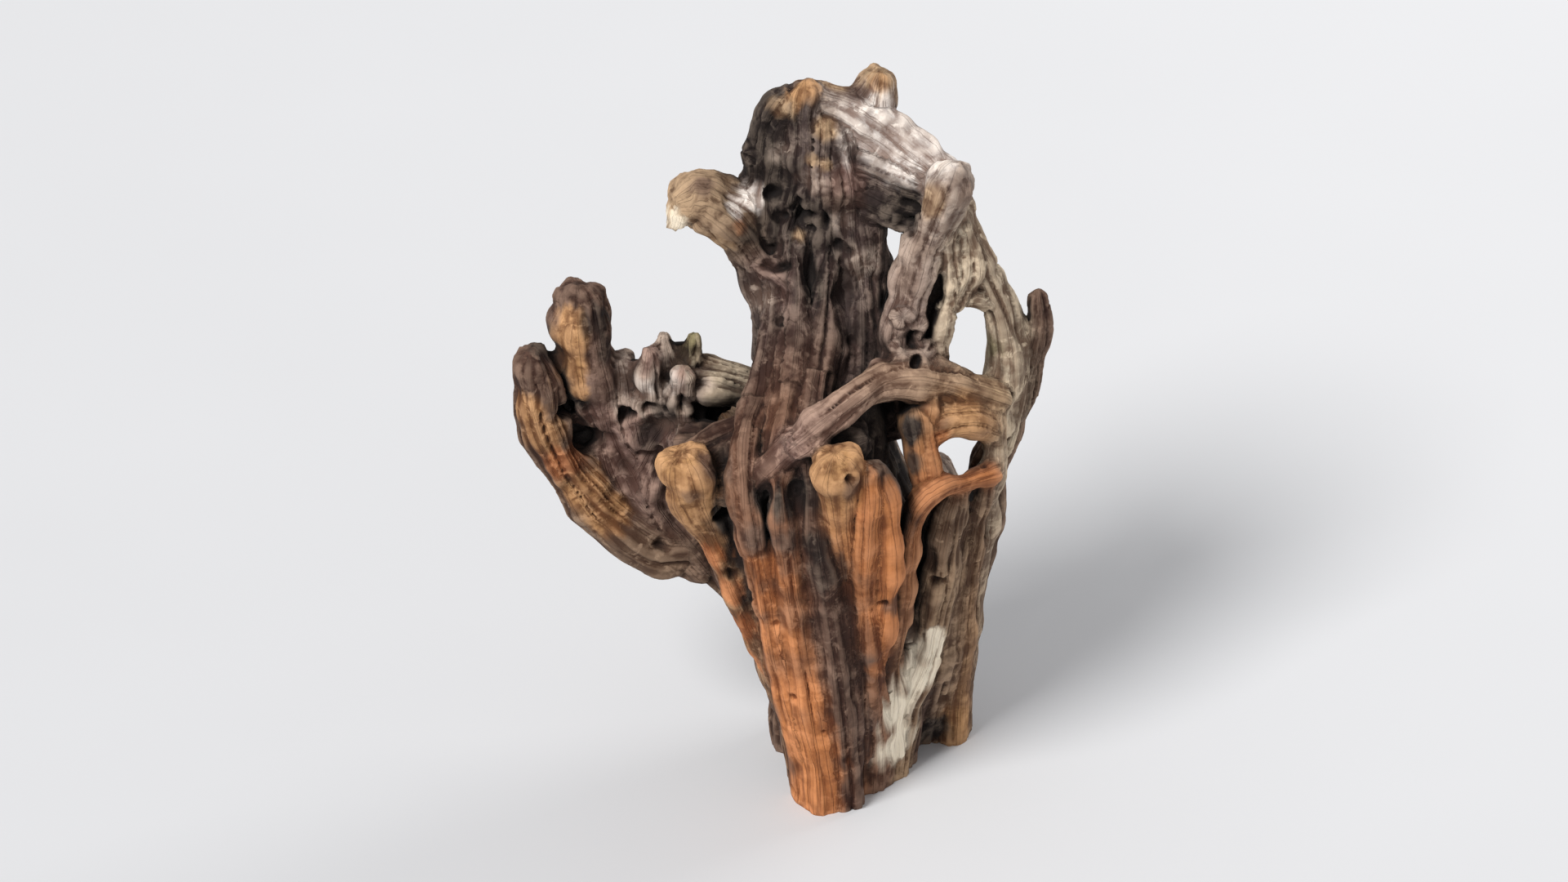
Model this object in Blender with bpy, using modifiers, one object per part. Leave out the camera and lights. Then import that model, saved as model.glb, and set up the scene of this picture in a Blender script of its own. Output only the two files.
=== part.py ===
"""Driftwood: the upturned root end of a tree, worn round by the sea.

The narrow broken end of the trunk stands on z = 0, with the origin inside that flat face.
Fluted strands of wood flare up from it into a crown of broken root stubs, a tall plate at
the back and a frame of thin roots with windows between them on the right.

A strand is a line of points in millimetres, each (x, y, z, radius): x to the right, y to
the back, z up. The strands are fused into one solid, weathered, thinned and cut flat below.
"""

import math

import bmesh
import bpy
from mathutils import Vector, noise

MM = 0.001
NODE_NAME = "driftwood"
WOOD_COLOUR = (0.235, 0.135, 0.075, 1.0)
WOOD_ROUGHNESS = 0.85

STRAND_STEP = 12.0 * MM
STRAND_BEVEL_RESOLUTION = 4
DOME_STEPS = 4
DOME_TIP = 0.05
VOXEL = 5.0 * MM
SMOOTH_PASSES = 1
SMOOTH_FACTOR = 0.5
# The creases are deepened by pushing the surface away from a smoother copy of itself.
RELIEF_PASSES = 8
RELIEF_GAIN = 0.8
# Each swelling of the worn surface: its width and its height.
SWELLINGS = ((70.0 * MM, 8.0 * MM), (30.0 * MM, 4.0 * MM))
NOISE_SEED = Vector((3.1, 7.7, 1.9))
TRIANGLES = 10500
GROUND_BLOCK = 1.0

# Strands of the trunk, from the broken end up into the collar.
TRUNK = {
    "heart": [
        (-2, 12, -30, 48), (-2, 8, 50, 54), (-4, 5, 130, 68), (-22, 5, 215, 80), (-45, 5, 290, 82),
        (-48, 0, 345, 68),
    ],
    "left_wall": [
        (-58, -18, -30, 26), (-62, -20, 60, 28), (-84, -20, 150, 31), (-118, -18, 230, 33),
        (-142, -12, 300, 32), (-146, -12, 350, 28),
    ],
    "left_web": [
        (-60, -46, 60, 20), (-80, -56, 150, 22), (-104, -66, 230, 24), (-122, -72, 300, 25),
        (-132, -70, 350, 24), (-138, -66, 395, 22),
    ],
    "left_knob_flute": [
        (-62, -46, -30, 18), (-66, -50, 50, 18), (-86, -58, 133, 17), (-118, -70, 216, 17),
        (-150, -86, 310, 18), (-168, -94, 365, 23), (-174, -98, 397, 30),
    ],
    "column_core": [
        (-40, -48, -30, 32), (-42, -52, 60, 32), (-50, -60, 170, 33), (-74, -74, 290, 36),
        (-84, -76, 360, 38), (-82, -52, 415, 36), (-66, -8, 465, 26),
    ],
    "collar_fill": [(-114, -68, 396, 26), (-80, -76, 408, 29), (-48, -78, 414, 28), (-24, -80, 420, 24)],
    "front_left_flute": [
        (-62, -64, -30, 15), (-66, -72, 40, 14), (-87, -90, 146, 13), (-104, -106, 262, 13),
        (-114, -114, 330, 13), (-121, -112, 385, 14), (-122, -90, 424, 15), (-112, -50, 436, 16),
    ],
    "front_flute": [
        (-46, -84, -30, 14), (-48, -88, 40, 14), (-62, -100, 146, 14), (-77, -112, 262, 13),
        (-84, -120, 330, 12), (-88, -122, 390, 12), (-88, -98, 430, 14), (-80, -52, 458, 14),
        (-74, -16, 492, 14),
    ],
    "dark_flute": [
        (-20, -76, -30, 15), (-24, -82, 40, 15), (-33, -96, 146, 16), (-46, -108, 262, 16),
        (-55, -114, 330, 15), (-58, -112, 390, 15), (-58, -84, 436, 16), (-52, -40, 462, 16),
    ],
    "centre_fill": [
        (-2, -25, 100, 34), (-4, -40, 200, 36), (-12, -58, 300, 37), (-22, -62, 370, 36), (-18, -22, 425, 28),
    ],
    "centre_knob": [(-24, -98, 270, 11), (-30, -112, 330, 14), (-34, -126, 380, 18), (-36, -138, 422, 24)],
    "narrow_flute": [
        (3, -44, -30, 16), (4, -52, 40, 15), (2, -70, 118, 14), (-4, -90, 200, 13), (-8, -112, 290, 12),
        (-6, -128, 370, 12), (-6, -132, 414, 13),
    ],
    "second_flute": [
        (8, -78, 170, 9), (12, -98, 235, 11), (14, -114, 320, 12), (10, -122, 375, 12), (0, -124, 410, 13),
    ],
    "bar_flute": [
        (18, -38, 40, 17), (21, -50, 120, 15), (24, -68, 213, 12), (29, -84, 288, 11), (40, -92, 350, 11),
        (58, -88, 368, 11), (81, -66, 362, 12), (107, -40, 355, 13),
    ],
    "toe": [
        (18, -22, -30, 19), (24, -27, 60, 18), (48, -34, 150, 19), (62, -46, 240, 20), (72, -58, 315, 19),
        (78, -60, 345, 15),
    ],
    "panel": [
        (46, 44, -30, 22), (52, 36, 30, 22), (60, 6, 100, 24), (64, -4, 170, 25), (74, -14, 240, 23),
        (86, -24, 300, 19),
    ],
    "right_leg": [
        (80, 34, -30, 15), (80, 28, 40, 15), (83, 8, 132, 17), (88, -12, 230, 17), (96, -26, 305, 16),
        (102, -36, 340, 13),
    ],
    "right_edge": [
        (78, 54, -30, 18), (82, 46, 50, 18), (90, 32, 145, 18), (98, 16, 240, 18), (104, 2, 292, 17),
        (109, -12, 332, 14), (113, -24, 362, 12), (115, -24, 400, 14),
    ],
    "back_right_flute": [
        (60, 62, -30, 24), (66, 66, 60, 24), (70, 78, 150, 25), (64, 98, 215, 24), (56, 114, 250, 20),
    ],
    "crossing_root": [
        (36, 72, -30, 25), (38, 80, 80, 25), (28, 98, 180, 25), (4, 120, 270, 25), (-28, 132, 345, 24),
        (-58, 132, 400, 23), (-74, 134, 428, 24),
    ],
    "back_buttress": [
        (-5, 72, -30, 30), (-10, 78, 80, 33), (-22, 88, 190, 37), (-38, 90, 310, 36), (-52, 80, 420, 32),
        (-62, 76, 510, 27), (-64, 80, 566, 22),
    ],
    "back_left_flute": [
        (-48, 46, -30, 28), (-56, 50, 60, 30), (-80, 68, 160, 32), (-112, 92, 250, 30), (-140, 108, 300, 27),
        (-156, 114, 318, 24),
    ],
    "back_rib": [
        (14, 98, -30, 15), (8, 108, 80, 15), (-6, 122, 180, 15), (-30, 130, 262, 14), (-50, 122, 330, 13),
    ],
    "side_rib": [
        (-78, 18, -30, 14), (-88, 24, 80, 14), (-108, 38, 160, 15), (-140, 48, 230, 16), (-168, 50, 276, 18),
    ],
    "left_flute": [
        (-60, 8, -30, 25), (-66, 10, 60, 26), (-92, 10, 150, 30), (-130, 12, 215, 32), (-156, 14, 262, 33),
    ],
}

# Root stubs on the left of the crown.
LEFT_CROWN = {
    "horn": [
        (-180, 10, 246, 32), (-208, 8, 250, 33), (-246, 6, 280, 32), (-281, -4, 324, 29), (-303, -12, 376, 26),
        (-315, -16, 426, 23), (-318, -16, 460, 21),
    ],
    "finger": [
        (-205, 16, 275, 30), (-232, 14, 318, 27), (-250, 12, 365, 23), (-262, 10, 410, 25), (-270, 8, 455, 29),
        (-274, 6, 497, 28), (-275, 4, 518, 24),
    ],
    "left_mass": [
        (-165, 12, 240, 34), (-205, 15, 295, 29), (-200, 12, 345, 28), (-188, 8, 385, 25), (-190, 8, 405, 20),
    ],
    "outer_lump": [(-222, 14, 370, 22), (-232, 12, 412, 20), (-236, 12, 442, 17)],
    "spur": [(-212, 4, 396, 18), (-214, 2, 436, 16), (-212, 2, 462, 12)],
    "inner_lump": [(-194, 14, 390, 20), (-195, 16, 438, 17), (-197, 18, 466, 13)],
    "third_lump": [(-184, -4, 400, 17), (-182, -8, 430, 13), (-180, -10, 446, 10)],
    "mossy_tip": [(-172, 16, 395, 20), (-171, 16, 442, 16), (-170, 16, 468, 12)],
    "pale_ridge": [(-182, 14, 434, 20), (-152, 16, 432, 18), (-124, 14, 425, 14), (-96, 10, 411, 15)],
    "ridge_root": [(-184, 26, 350, 24), (-160, 26, 386, 17), (-146, 24, 400, 12)],
    "left_bridge": [(-176, -22, 376, 22), (-142, -16, 372, 19), (-108, -10, 374, 18), (-80, -5, 380, 20)],
    "small_knob": [(-96, -2, 392, 14), (-108, -8, 404, 11)],
    "left_shoulder": [(-170, -72, 390, 22), (-146, -62, 402, 21), (-118, -48, 404, 22), (-92, -30, 414, 26)],
}

# The tall plate at the back, its beak and the pale limb along its top.
PLATE = {
    "plate_core": [
        (-40, 32, 250, 40), (-46, 32, 350, 37), (-52, 38, 430, 33), (-60, 46, 510, 30), (-64, 56, 590, 28),
        (-64, 66, 650, 24), (-62, 70, 692, 18),
    ],
    "plate_side": [
        (-14, 30, 280, 32), (-12, 32, 380, 28), (-14, 34, 460, 24), (-20, 40, 540, 22), (-26, 50, 620, 20),
        (-34, 58, 670, 18),
    ],
    "plate_left": [
        (-86, -4, 400, 16), (-90, 10, 455, 16), (-102, 20, 505, 17), (-113, 28, 550, 20), (-107, 38, 600, 19),
        (-102, 48, 645, 17), (-98, 54, 680, 16), (-86, 60, 704, 14),
    ],
    "plate_front": [
        (-74, -24, 476, 13), (-72, 2, 505, 14), (-78, 14, 545, 14), (-76, 28, 590, 13), (-68, 38, 640, 15),
        (-67, 52, 690, 15), (-63, 62, 716, 15),
    ],
    "plate_middle": [
        (-44, -28, 446, 14), (-40, -2, 482, 14), (-46, 12, 530, 13), (-44, 22, 580, 12), (-47, 32, 630, 14),
        (-46, 46, 675, 15),
    ],
    "plate_inner": [
        (-14, -22, 434, 13), (-12, 2, 476, 13), (-14, 14, 530, 13), (-22, 26, 580, 13), (-24, 36, 625, 12),
        (-30, 48, 660, 12),
    ],
    "plate_right": [
        (8, -6, 410, 18), (5, 8, 470, 15), (-2, 20, 525, 14), (1, 30, 570, 14), (-4, 38, 610, 16),
        (-12, 46, 640, 16),
    ],
    "fold": [(-118, 18, 556, 10), (-98, 8, 552, 11), (-84, 6, 536, 11), (-74, 0, 510, 11)],
    "beak": [
        (-106, 30, 540, 22), (-127, 30, 580, 27), (-149, 26, 612, 29), (-168, 20, 622, 22), (-180, 15, 612, 11),
        (-185, 12, 601, 5),
    ],
    "edge_bump": [(-100, 50, 646, 14), (-117, 47, 652, 12)],
    "pale_limb": [
        (-56, 66, 704, 18), (-24, 66, 690, 21), (6, 58, 672, 23), (34, 44, 656, 22), (60, 22, 646, 21),
    ],
    "top_nub": [(-4, 74, 685, 18), (3, 78, 715, 20)],
    "dark_fill": [(-5, 44, 642, 18), (24, 32, 638, 17), (50, 14, 632, 17)],
    "dark_link": [(-8, 34, 612, 17), (22, 20, 606, 16), (50, 6, 613, 16)],
    "back_rib_left": [(-98, 62, 420, 14), (-102, 60, 510, 15), (-96, 68, 590, 14), (-86, 76, 650, 12)],
    "back_rib_right": [(-22, 66, 420, 15), (-24, 66, 510, 15), (-32, 76, 600, 14), (-42, 84, 656, 12)],
}

# The frame of thin roots on the right, with the windows between them.
RIGHT_CROWN = {
    "rim_ridge": [
        (-74, -114, 434, 15), (-50, -108, 452, 16), (-20, -84, 464, 16), (12, -56, 468, 17), (57, -35, 452, 19),
        (112, -10, 416, 19),
    ],
    "arch": [(44, -50, 408, 19), (80, -44, 418, 20), (110, -22, 392, 18)],
    "window_post": [(40, -56, 420, 16), (50, -80, 370, 12)],
    "limb": [
        (-10, 10, 380, 22), (26, -10, 405, 22), (27, -15, 455, 20), (25, -12, 496, 19), (34, -8, 534, 17),
        (45, -4, 575, 18), (57, 0, 613, 22), (66, 4, 640, 27),
    ],
    "limb_knot": [(30, -26, 470, 14), (38, -34, 460, 11)],
    "recess": [(54, 16, 596, 13), (52, 12, 545, 12), (50, 8, 500, 12), (48, 4, 450, 14)],
    "sheet": [(72, 4, 606, 15), (84, 8, 578, 15), (92, 10, 545, 12)],
    "outer_frame": [
        (72, 6, 625, 19), (83, 10, 605, 17), (95, 14, 563, 16), (112, 18, 515, 16), (122, 18, 474, 16),
        (124, 12, 425, 18), (116, 0, 385, 19),
    ],
    "pale_panel": [
        (110, 24, 535, 12), (124, 28, 495, 13), (133, 29, 450, 14), (132, 22, 400, 15), (120, 6, 360, 14),
    ],
    "inner_frame": [
        (68, -4, 600, 12), (72, -8, 551, 10), (64, -10, 512, 9), (59, -12, 472, 9), (64, -15, 435, 11),
        (75, -20, 410, 13),
    ],
    "frame_top": [(64, -8, 522, 9), (85, 2, 524, 10), (108, 14, 514, 12)],
    "right_horn": [
        (76, 56, -30, 21), (80, 54, 80, 22), (92, 48, 170, 22), (100, 42, 240, 21), (107, 34, 305, 19),
        (126, 33, 362, 16), (143, 34, 398, 13), (156, 35, 466, 11), (154, 35, 504, 9),
    ],
}

STRANDS = {**TRUNK, **LEFT_CROWN, **PLATE, **RIGHT_CROWN}


def clear_scene():
    for obj in list(bpy.data.objects):
        bpy.data.objects.remove(obj, do_unlink=True)


def catmull_rom(a, b, c, d, t):
    """The smooth line through b and c, at t from 0 to 1."""
    return (b * 2 + (c - a) * t + (a * 2 - b * 5 + c * 4 - d) * t**2 + (b * 3 - a - c * 3 + d) * t**3) / 2


def smooth_line(points):
    """Points about STRAND_STEP apart on the smooth line through a strand's own points, in metres."""
    own = [Vector(point) * MM for point in points]
    own = [own[0] * 2 - own[1], *own, own[-1] * 2 - own[-2]]
    line = []
    for a, b, c, d in zip(own, own[1:], own[2:], own[3:]):
        steps = max(2, round((c - b).to_3d().length / STRAND_STEP))
        line += [catmull_rom(a, b, c, d, step / steps) for step in range(steps)]
    return [*line, own[-2]]


def dome(end, inner):
    """The points that round off a strand past its end, from the widest to the narrowest."""
    outward = (end.to_3d() - inner.to_3d()).normalized()
    points = []
    for step in range(1, DOME_STEPS + 1):
        angle = math.pi / 2 * step / DOME_STEPS
        place = end.to_3d() + outward * end.w * math.sin(angle)
        points.append(Vector((*place, end.w * max(math.cos(angle), DOME_TIP))))
    return points


def strand_mesh(name, points):
    """One strand as a closed tube with round ends."""
    line = smooth_line(points)
    line = [*reversed(dome(line[0], line[1])), *line, *dome(line[-1], line[-2])]
    curve = bpy.data.curves.new(name, "CURVE")
    curve.dimensions = "3D"
    curve.bevel_depth = 1.0
    curve.bevel_resolution = STRAND_BEVEL_RESOLUTION
    curve.use_fill_caps = True
    spline = curve.splines.new("POLY")
    spline.points.add(len(line) - 1)
    for spline_point, (x, y, z, radius) in zip(spline.points, line):
        spline_point.co = (x, y, z, 1.0)
        spline_point.radius = radius
    guide = bpy.data.objects.new(name, curve)
    bpy.context.scene.collection.objects.link(guide)
    graph = bpy.context.evaluated_depsgraph_get()
    mesh = bpy.data.meshes.new_from_object(guide.evaluated_get(graph))
    bpy.data.objects.remove(guide)
    bpy.data.curves.remove(curve)
    return mesh


def all_strands():
    """Every strand in one mesh, still as separate tubes that cross each other."""
    tubes = bmesh.new()
    for name, points in STRANDS.items():
        mesh = strand_mesh(name, points)
        tubes.from_mesh(mesh)
        bpy.data.meshes.remove(mesh)
    bmesh.ops.remove_doubles(tubes, verts=tubes.verts, dist=0.01 * MM)
    bmesh.ops.recalc_face_normals(tubes, faces=tubes.faces)
    mesh = bpy.data.meshes.new(NODE_NAME)
    tubes.to_mesh(mesh)
    tubes.free()
    return mesh


def evaluated_copy(obj):
    graph = bpy.context.evaluated_depsgraph_get()
    return bpy.data.meshes.new_from_object(obj.evaluated_get(graph))


def fuse(obj):
    """The crossing tubes as one skin of even faces."""
    remesh = obj.modifiers.new("Fuse", "REMESH")
    remesh.mode = "VOXEL"
    remesh.voxel_size = VOXEL
    obj.data = evaluated_copy(obj)
    obj.modifiers.clear()


def linked_group(start, seen):
    group, waiting = [], [start]
    seen.add(start)
    while waiting:
        vert = waiting.pop()
        group.append(vert)
        for edge in vert.link_edges:
            other = edge.other_vert(vert)
            if other not in seen:
                seen.add(other)
                waiting.append(other)
    return group


def keep_outer_skin(skin):
    """Fills any hollow sealed between strands, by dropping every skin but the largest."""
    seen, groups = set(), []
    for vert in skin.verts:
        if vert not in seen:
            groups.append(linked_group(vert, seen))
    groups.sort(key=len)
    inner = [vert for group in groups[:-1] for vert in group]
    bmesh.ops.delete(skin, geom=inner, context="VERTS")


def swelling(place):
    """How far the worn surface stands out at a place."""
    return sum(height * noise.noise(place / width + NOISE_SEED) for width, height in SWELLINGS)


def smoothen(skin, passes):
    for _ in range(passes):
        bmesh.ops.smooth_vert(
            skin, verts=skin.verts, factor=SMOOTH_FACTOR, use_axis_x=True, use_axis_y=True, use_axis_z=True
        )


def deepen_creases(skin):
    sharp = [vert.co.copy() for vert in skin.verts]
    smoothen(skin, RELIEF_PASSES)
    for vert, place in zip(skin.verts, sharp):
        vert.co = place + (place - vert.co) * RELIEF_GAIN


def swell(skin):
    skin.normal_update()
    moves = [vert.normal * swelling(vert.co) for vert in skin.verts]
    for vert, move in zip(skin.verts, moves):
        vert.co += move


def weather(obj):
    """Rounds the fused strands, deepens the creases between them and swells the surface unevenly."""
    skin = bmesh.new()
    skin.from_mesh(obj.data)
    keep_outer_skin(skin)
    smoothen(skin, SMOOTH_PASSES)
    deepen_creases(skin)
    swell(skin)
    bmesh.ops.triangulate(skin, faces=skin.faces)
    skin.to_mesh(obj.data)
    skin.free()


def thin(obj):
    """Fewer, larger faces where the surface is plain."""
    decimate = obj.modifiers.new("Thin", "DECIMATE")
    decimate.ratio = TRIANGLES / len(obj.data.polygons)
    decimate.use_collapse_triangulate = True
    obj.data = evaluated_copy(obj)
    obj.modifiers.clear()


def cut_flat_below(obj, cutters):
    """Cuts the broken end flat at z = 0, where the driftwood stands."""
    bpy.ops.mesh.primitive_cube_add(size=GROUND_BLOCK, location=(0, 0, -GROUND_BLOCK / 2))
    block = bpy.context.object
    block.name = "ground_cutter"
    block.hide_render = True
    block.display_type = "WIRE"
    for collection in block.users_collection:
        collection.objects.unlink(block)
    cutters.objects.link(block)
    cut = obj.modifiers.new("Broken end", "BOOLEAN")
    cut.operation = "DIFFERENCE"
    cut.solver = "EXACT"
    cut.object = block


def wood():
    material = bpy.data.materials.new("driftwood")
    material.use_nodes = True
    shader = material.node_tree.nodes["Principled BSDF"]
    shader.inputs["Base Color"].default_value = WOOD_COLOUR
    shader.inputs["Roughness"].default_value = WOOD_ROUGHNESS
    shader.inputs["Metallic"].default_value = 0.0
    return material


def new_collection(name):
    collection = bpy.data.collections.new(name)
    bpy.context.scene.collection.children.link(collection)
    return collection


def main():
    clear_scene()
    parts = new_collection("Driftwood")
    cutters = new_collection("Cutters")
    driftwood = bpy.data.objects.new(NODE_NAME, all_strands())
    parts.objects.link(driftwood)
    fuse(driftwood)
    weather(driftwood)
    thin(driftwood)
    driftwood.data.materials.append(wood())
    driftwood.data.shade_smooth()
    cut_flat_below(driftwood, cutters)


main()
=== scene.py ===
"""Driftwood: the weathered surface and the colours of the solid part, on a plain studio stage.

The wood is made again from the part's own strands, finer than the solid, and keeps its form.
The strands also give the direction of the grain, which the cracks, ridges and colours follow.
Points in the tables are millimetres: x to the right, y to the back, z up. Settings are metres.
"""

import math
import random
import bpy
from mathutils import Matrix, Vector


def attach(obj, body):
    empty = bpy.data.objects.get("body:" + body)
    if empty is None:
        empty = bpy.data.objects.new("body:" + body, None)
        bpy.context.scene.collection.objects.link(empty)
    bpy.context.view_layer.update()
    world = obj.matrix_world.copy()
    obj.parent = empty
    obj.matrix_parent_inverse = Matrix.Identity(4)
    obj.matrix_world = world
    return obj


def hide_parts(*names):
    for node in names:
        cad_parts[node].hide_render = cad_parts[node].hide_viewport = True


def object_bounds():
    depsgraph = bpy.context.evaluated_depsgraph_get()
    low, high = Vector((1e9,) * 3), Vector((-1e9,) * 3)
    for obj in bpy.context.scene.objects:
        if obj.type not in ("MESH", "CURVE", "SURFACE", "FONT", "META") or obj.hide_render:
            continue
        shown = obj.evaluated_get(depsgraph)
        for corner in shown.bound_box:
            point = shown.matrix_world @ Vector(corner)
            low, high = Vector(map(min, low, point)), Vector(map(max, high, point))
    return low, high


bl_info = {
    "name": "Weathered Driftwood",
    "version": (1, 0, 0),
    "blender": (4, 5, 0),
    "location": "3D View > Sidebar > Driftwood",
    "description": "Builds a weathered driftwood root end and the studio stage that it stands on",
    "category": "Object",
}

import bmesh
import bpy
import numpy as np
from bpy.props import FloatProperty, FloatVectorProperty, IntProperty, PointerProperty
from mathutils import Vector, noise
from mathutils.bvhtree import BVHTree

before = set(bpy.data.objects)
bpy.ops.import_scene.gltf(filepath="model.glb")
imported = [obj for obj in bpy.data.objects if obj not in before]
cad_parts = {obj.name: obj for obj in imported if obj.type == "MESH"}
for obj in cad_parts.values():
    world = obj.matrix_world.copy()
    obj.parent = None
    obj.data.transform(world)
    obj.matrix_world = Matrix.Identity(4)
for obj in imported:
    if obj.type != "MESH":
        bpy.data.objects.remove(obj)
CAD_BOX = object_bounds()

MM = 0.001
NODE = "driftwood"
BODY = "root"

# Strands of the trunk: each one's tone at its first point and at its last, and its points.
TRUNK = {
    "heart": ("umber", "soot", [
        (-2, 12, -30, 48), (-2, 8, 50, 54), (-4, 5, 130, 68), (-22, 5, 215, 80), (-45, 5, 290, 82),
        (-48, 0, 345, 68),
    ]),
    "left_wall": ("umber", "umber", [
        (-58, -18, -30, 26), (-62, -20, 60, 28), (-84, -20, 150, 31), (-118, -18, 230, 33),
        (-142, -12, 300, 32), (-146, -12, 350, 28),
    ]),
    "left_web": ("umber", "soot", [
        (-60, -46, 60, 20), (-80, -56, 150, 22), (-104, -66, 230, 24), (-122, -72, 300, 25),
        (-132, -70, 350, 24), (-138, -66, 395, 22),
    ]),
    "left_knob_flute": ("olive", "amber", [
        (-62, -46, -30, 18), (-66, -50, 50, 18), (-86, -58, 133, 17), (-118, -70, 216, 17),
        (-150, -86, 310, 18), (-168, -94, 365, 23), (-174, -98, 397, 30),
    ]),
    "column_core": ("rust", "umber", [
        (-40, -48, -30, 32), (-42, -52, 60, 32), (-50, -60, 170, 33), (-74, -74, 290, 36),
        (-84, -76, 360, 38), (-82, -52, 415, 36), (-66, -8, 465, 26),
    ]),
    "collar_fill": ("umber", "soot", [
        (-114, -68, 396, 26), (-80, -76, 408, 29), (-48, -78, 414, 28), (-24, -80, 420, 24),
    ]),
    "front_left_flute": ("rust", "umber", [
        (-62, -64, -30, 15), (-66, -72, 40, 14), (-87, -90, 146, 13), (-104, -106, 262, 13),
        (-114, -114, 330, 13), (-121, -112, 385, 14), (-122, -90, 424, 15), (-112, -50, 436, 16),
    ]),
    "front_flute": ("rust", "umber", [
        (-46, -84, -30, 14), (-48, -88, 40, 14), (-62, -100, 146, 14), (-77, -112, 262, 13),
        (-84, -120, 330, 12), (-88, -122, 390, 12), (-88, -98, 430, 14), (-80, -52, 458, 14),
        (-74, -16, 492, 14),
    ]),
    "dark_flute": ("umber", "umber", [
        (-20, -76, -30, 15), (-24, -82, 40, 15), (-33, -96, 146, 16), (-46, -108, 262, 16),
        (-55, -114, 330, 15), (-58, -112, 390, 15), (-58, -84, 436, 16), (-52, -40, 462, 16),
    ]),
    "centre_fill": ("umber", "soot", [
        (-2, -25, 100, 34), (-4, -40, 200, 36), (-12, -58, 300, 37), (-22, -62, 370, 36),
        (-18, -22, 425, 28),
    ]),
    "centre_knob": ("rust", "amber", [
        (-24, -98, 270, 11), (-30, -112, 330, 14), (-34, -126, 380, 18), (-36, -138, 422, 24),
    ]),
    "narrow_flute": ("umber", "rust", [
        (3, -44, -30, 16), (4, -52, 40, 15), (2, -70, 118, 14), (-4, -90, 200, 13), (-8, -112, 290, 12),
        (-6, -128, 370, 12), (-6, -132, 414, 13),
    ]),
    "second_flute": ("rust", "rust", [
        (8, -78, 170, 9), (12, -98, 235, 11), (14, -114, 320, 12), (10, -122, 375, 12),
        (0, -124, 410, 13),
    ]),
    "bar_flute": ("olive", "rust", [
        (18, -38, 40, 17), (21, -50, 120, 15), (24, -68, 213, 12), (29, -84, 288, 11),
        (40, -92, 350, 11), (58, -88, 368, 11), (81, -66, 362, 12), (107, -40, 355, 13),
    ]),
    "toe": ("tan", "olive", [
        (18, -22, -30, 19), (24, -27, 60, 18), (48, -34, 150, 19), (62, -46, 240, 20),
        (72, -58, 315, 19), (78, -60, 345, 15),
    ]),
    "panel": ("olive", "olive", [
        (46, 44, -30, 22), (52, 36, 30, 22), (60, 6, 100, 24), (64, -4, 170, 25), (74, -14, 240, 23),
        (86, -24, 300, 19),
    ]),
    "right_leg": ("amber", "olive", [
        (80, 34, -30, 15), (80, 28, 40, 15), (83, 8, 132, 17), (88, -12, 230, 17), (96, -26, 305, 16),
        (102, -36, 340, 13),
    ]),
    "right_edge": ("olive", "straw", [
        (78, 54, -30, 18), (82, 46, 50, 18), (90, 32, 145, 18), (98, 16, 240, 18), (104, 2, 292, 17),
        (109, -12, 332, 14), (113, -24, 362, 12), (115, -24, 400, 14),
    ]),
    "back_right_flute": ("olive", "ash", [
        (60, 62, -30, 24), (66, 66, 60, 24), (70, 78, 150, 25), (64, 98, 215, 24), (56, 114, 250, 20),
    ]),
    "crossing_root": ("olive", "ash", [
        (36, 72, -30, 25), (38, 80, 80, 25), (28, 98, 180, 25), (4, 120, 270, 25), (-28, 132, 345, 24),
        (-58, 132, 400, 23), (-74, 134, 428, 24),
    ]),
    "back_buttress": ("umber", "ash", [
        (-5, 72, -30, 30), (-10, 78, 80, 33), (-22, 88, 190, 37), (-38, 90, 310, 36),
        (-52, 80, 420, 32), (-62, 76, 510, 27), (-64, 80, 566, 22),
    ]),
    "back_left_flute": ("olive", "olive", [
        (-48, 46, -30, 28), (-56, 50, 60, 30), (-80, 68, 160, 32), (-112, 92, 250, 30),
        (-140, 108, 300, 27), (-156, 114, 318, 24),
    ]),
    "back_rib": ("olive", "umber", [
        (14, 98, -30, 15), (8, 108, 80, 15), (-6, 122, 180, 15), (-30, 130, 262, 14),
        (-50, 122, 330, 13),
    ]),
    "side_rib": ("umber", "olive", [
        (-78, 18, -30, 14), (-88, 24, 80, 14), (-108, 38, 160, 15), (-140, 48, 230, 16),
        (-168, 50, 276, 18),
    ]),
    "left_flute": ("umber", "olive", [
        (-60, 8, -30, 25), (-66, 10, 60, 26), (-92, 10, 150, 30), (-130, 12, 215, 32),
        (-156, 14, 262, 33),
    ]),
}

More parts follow.
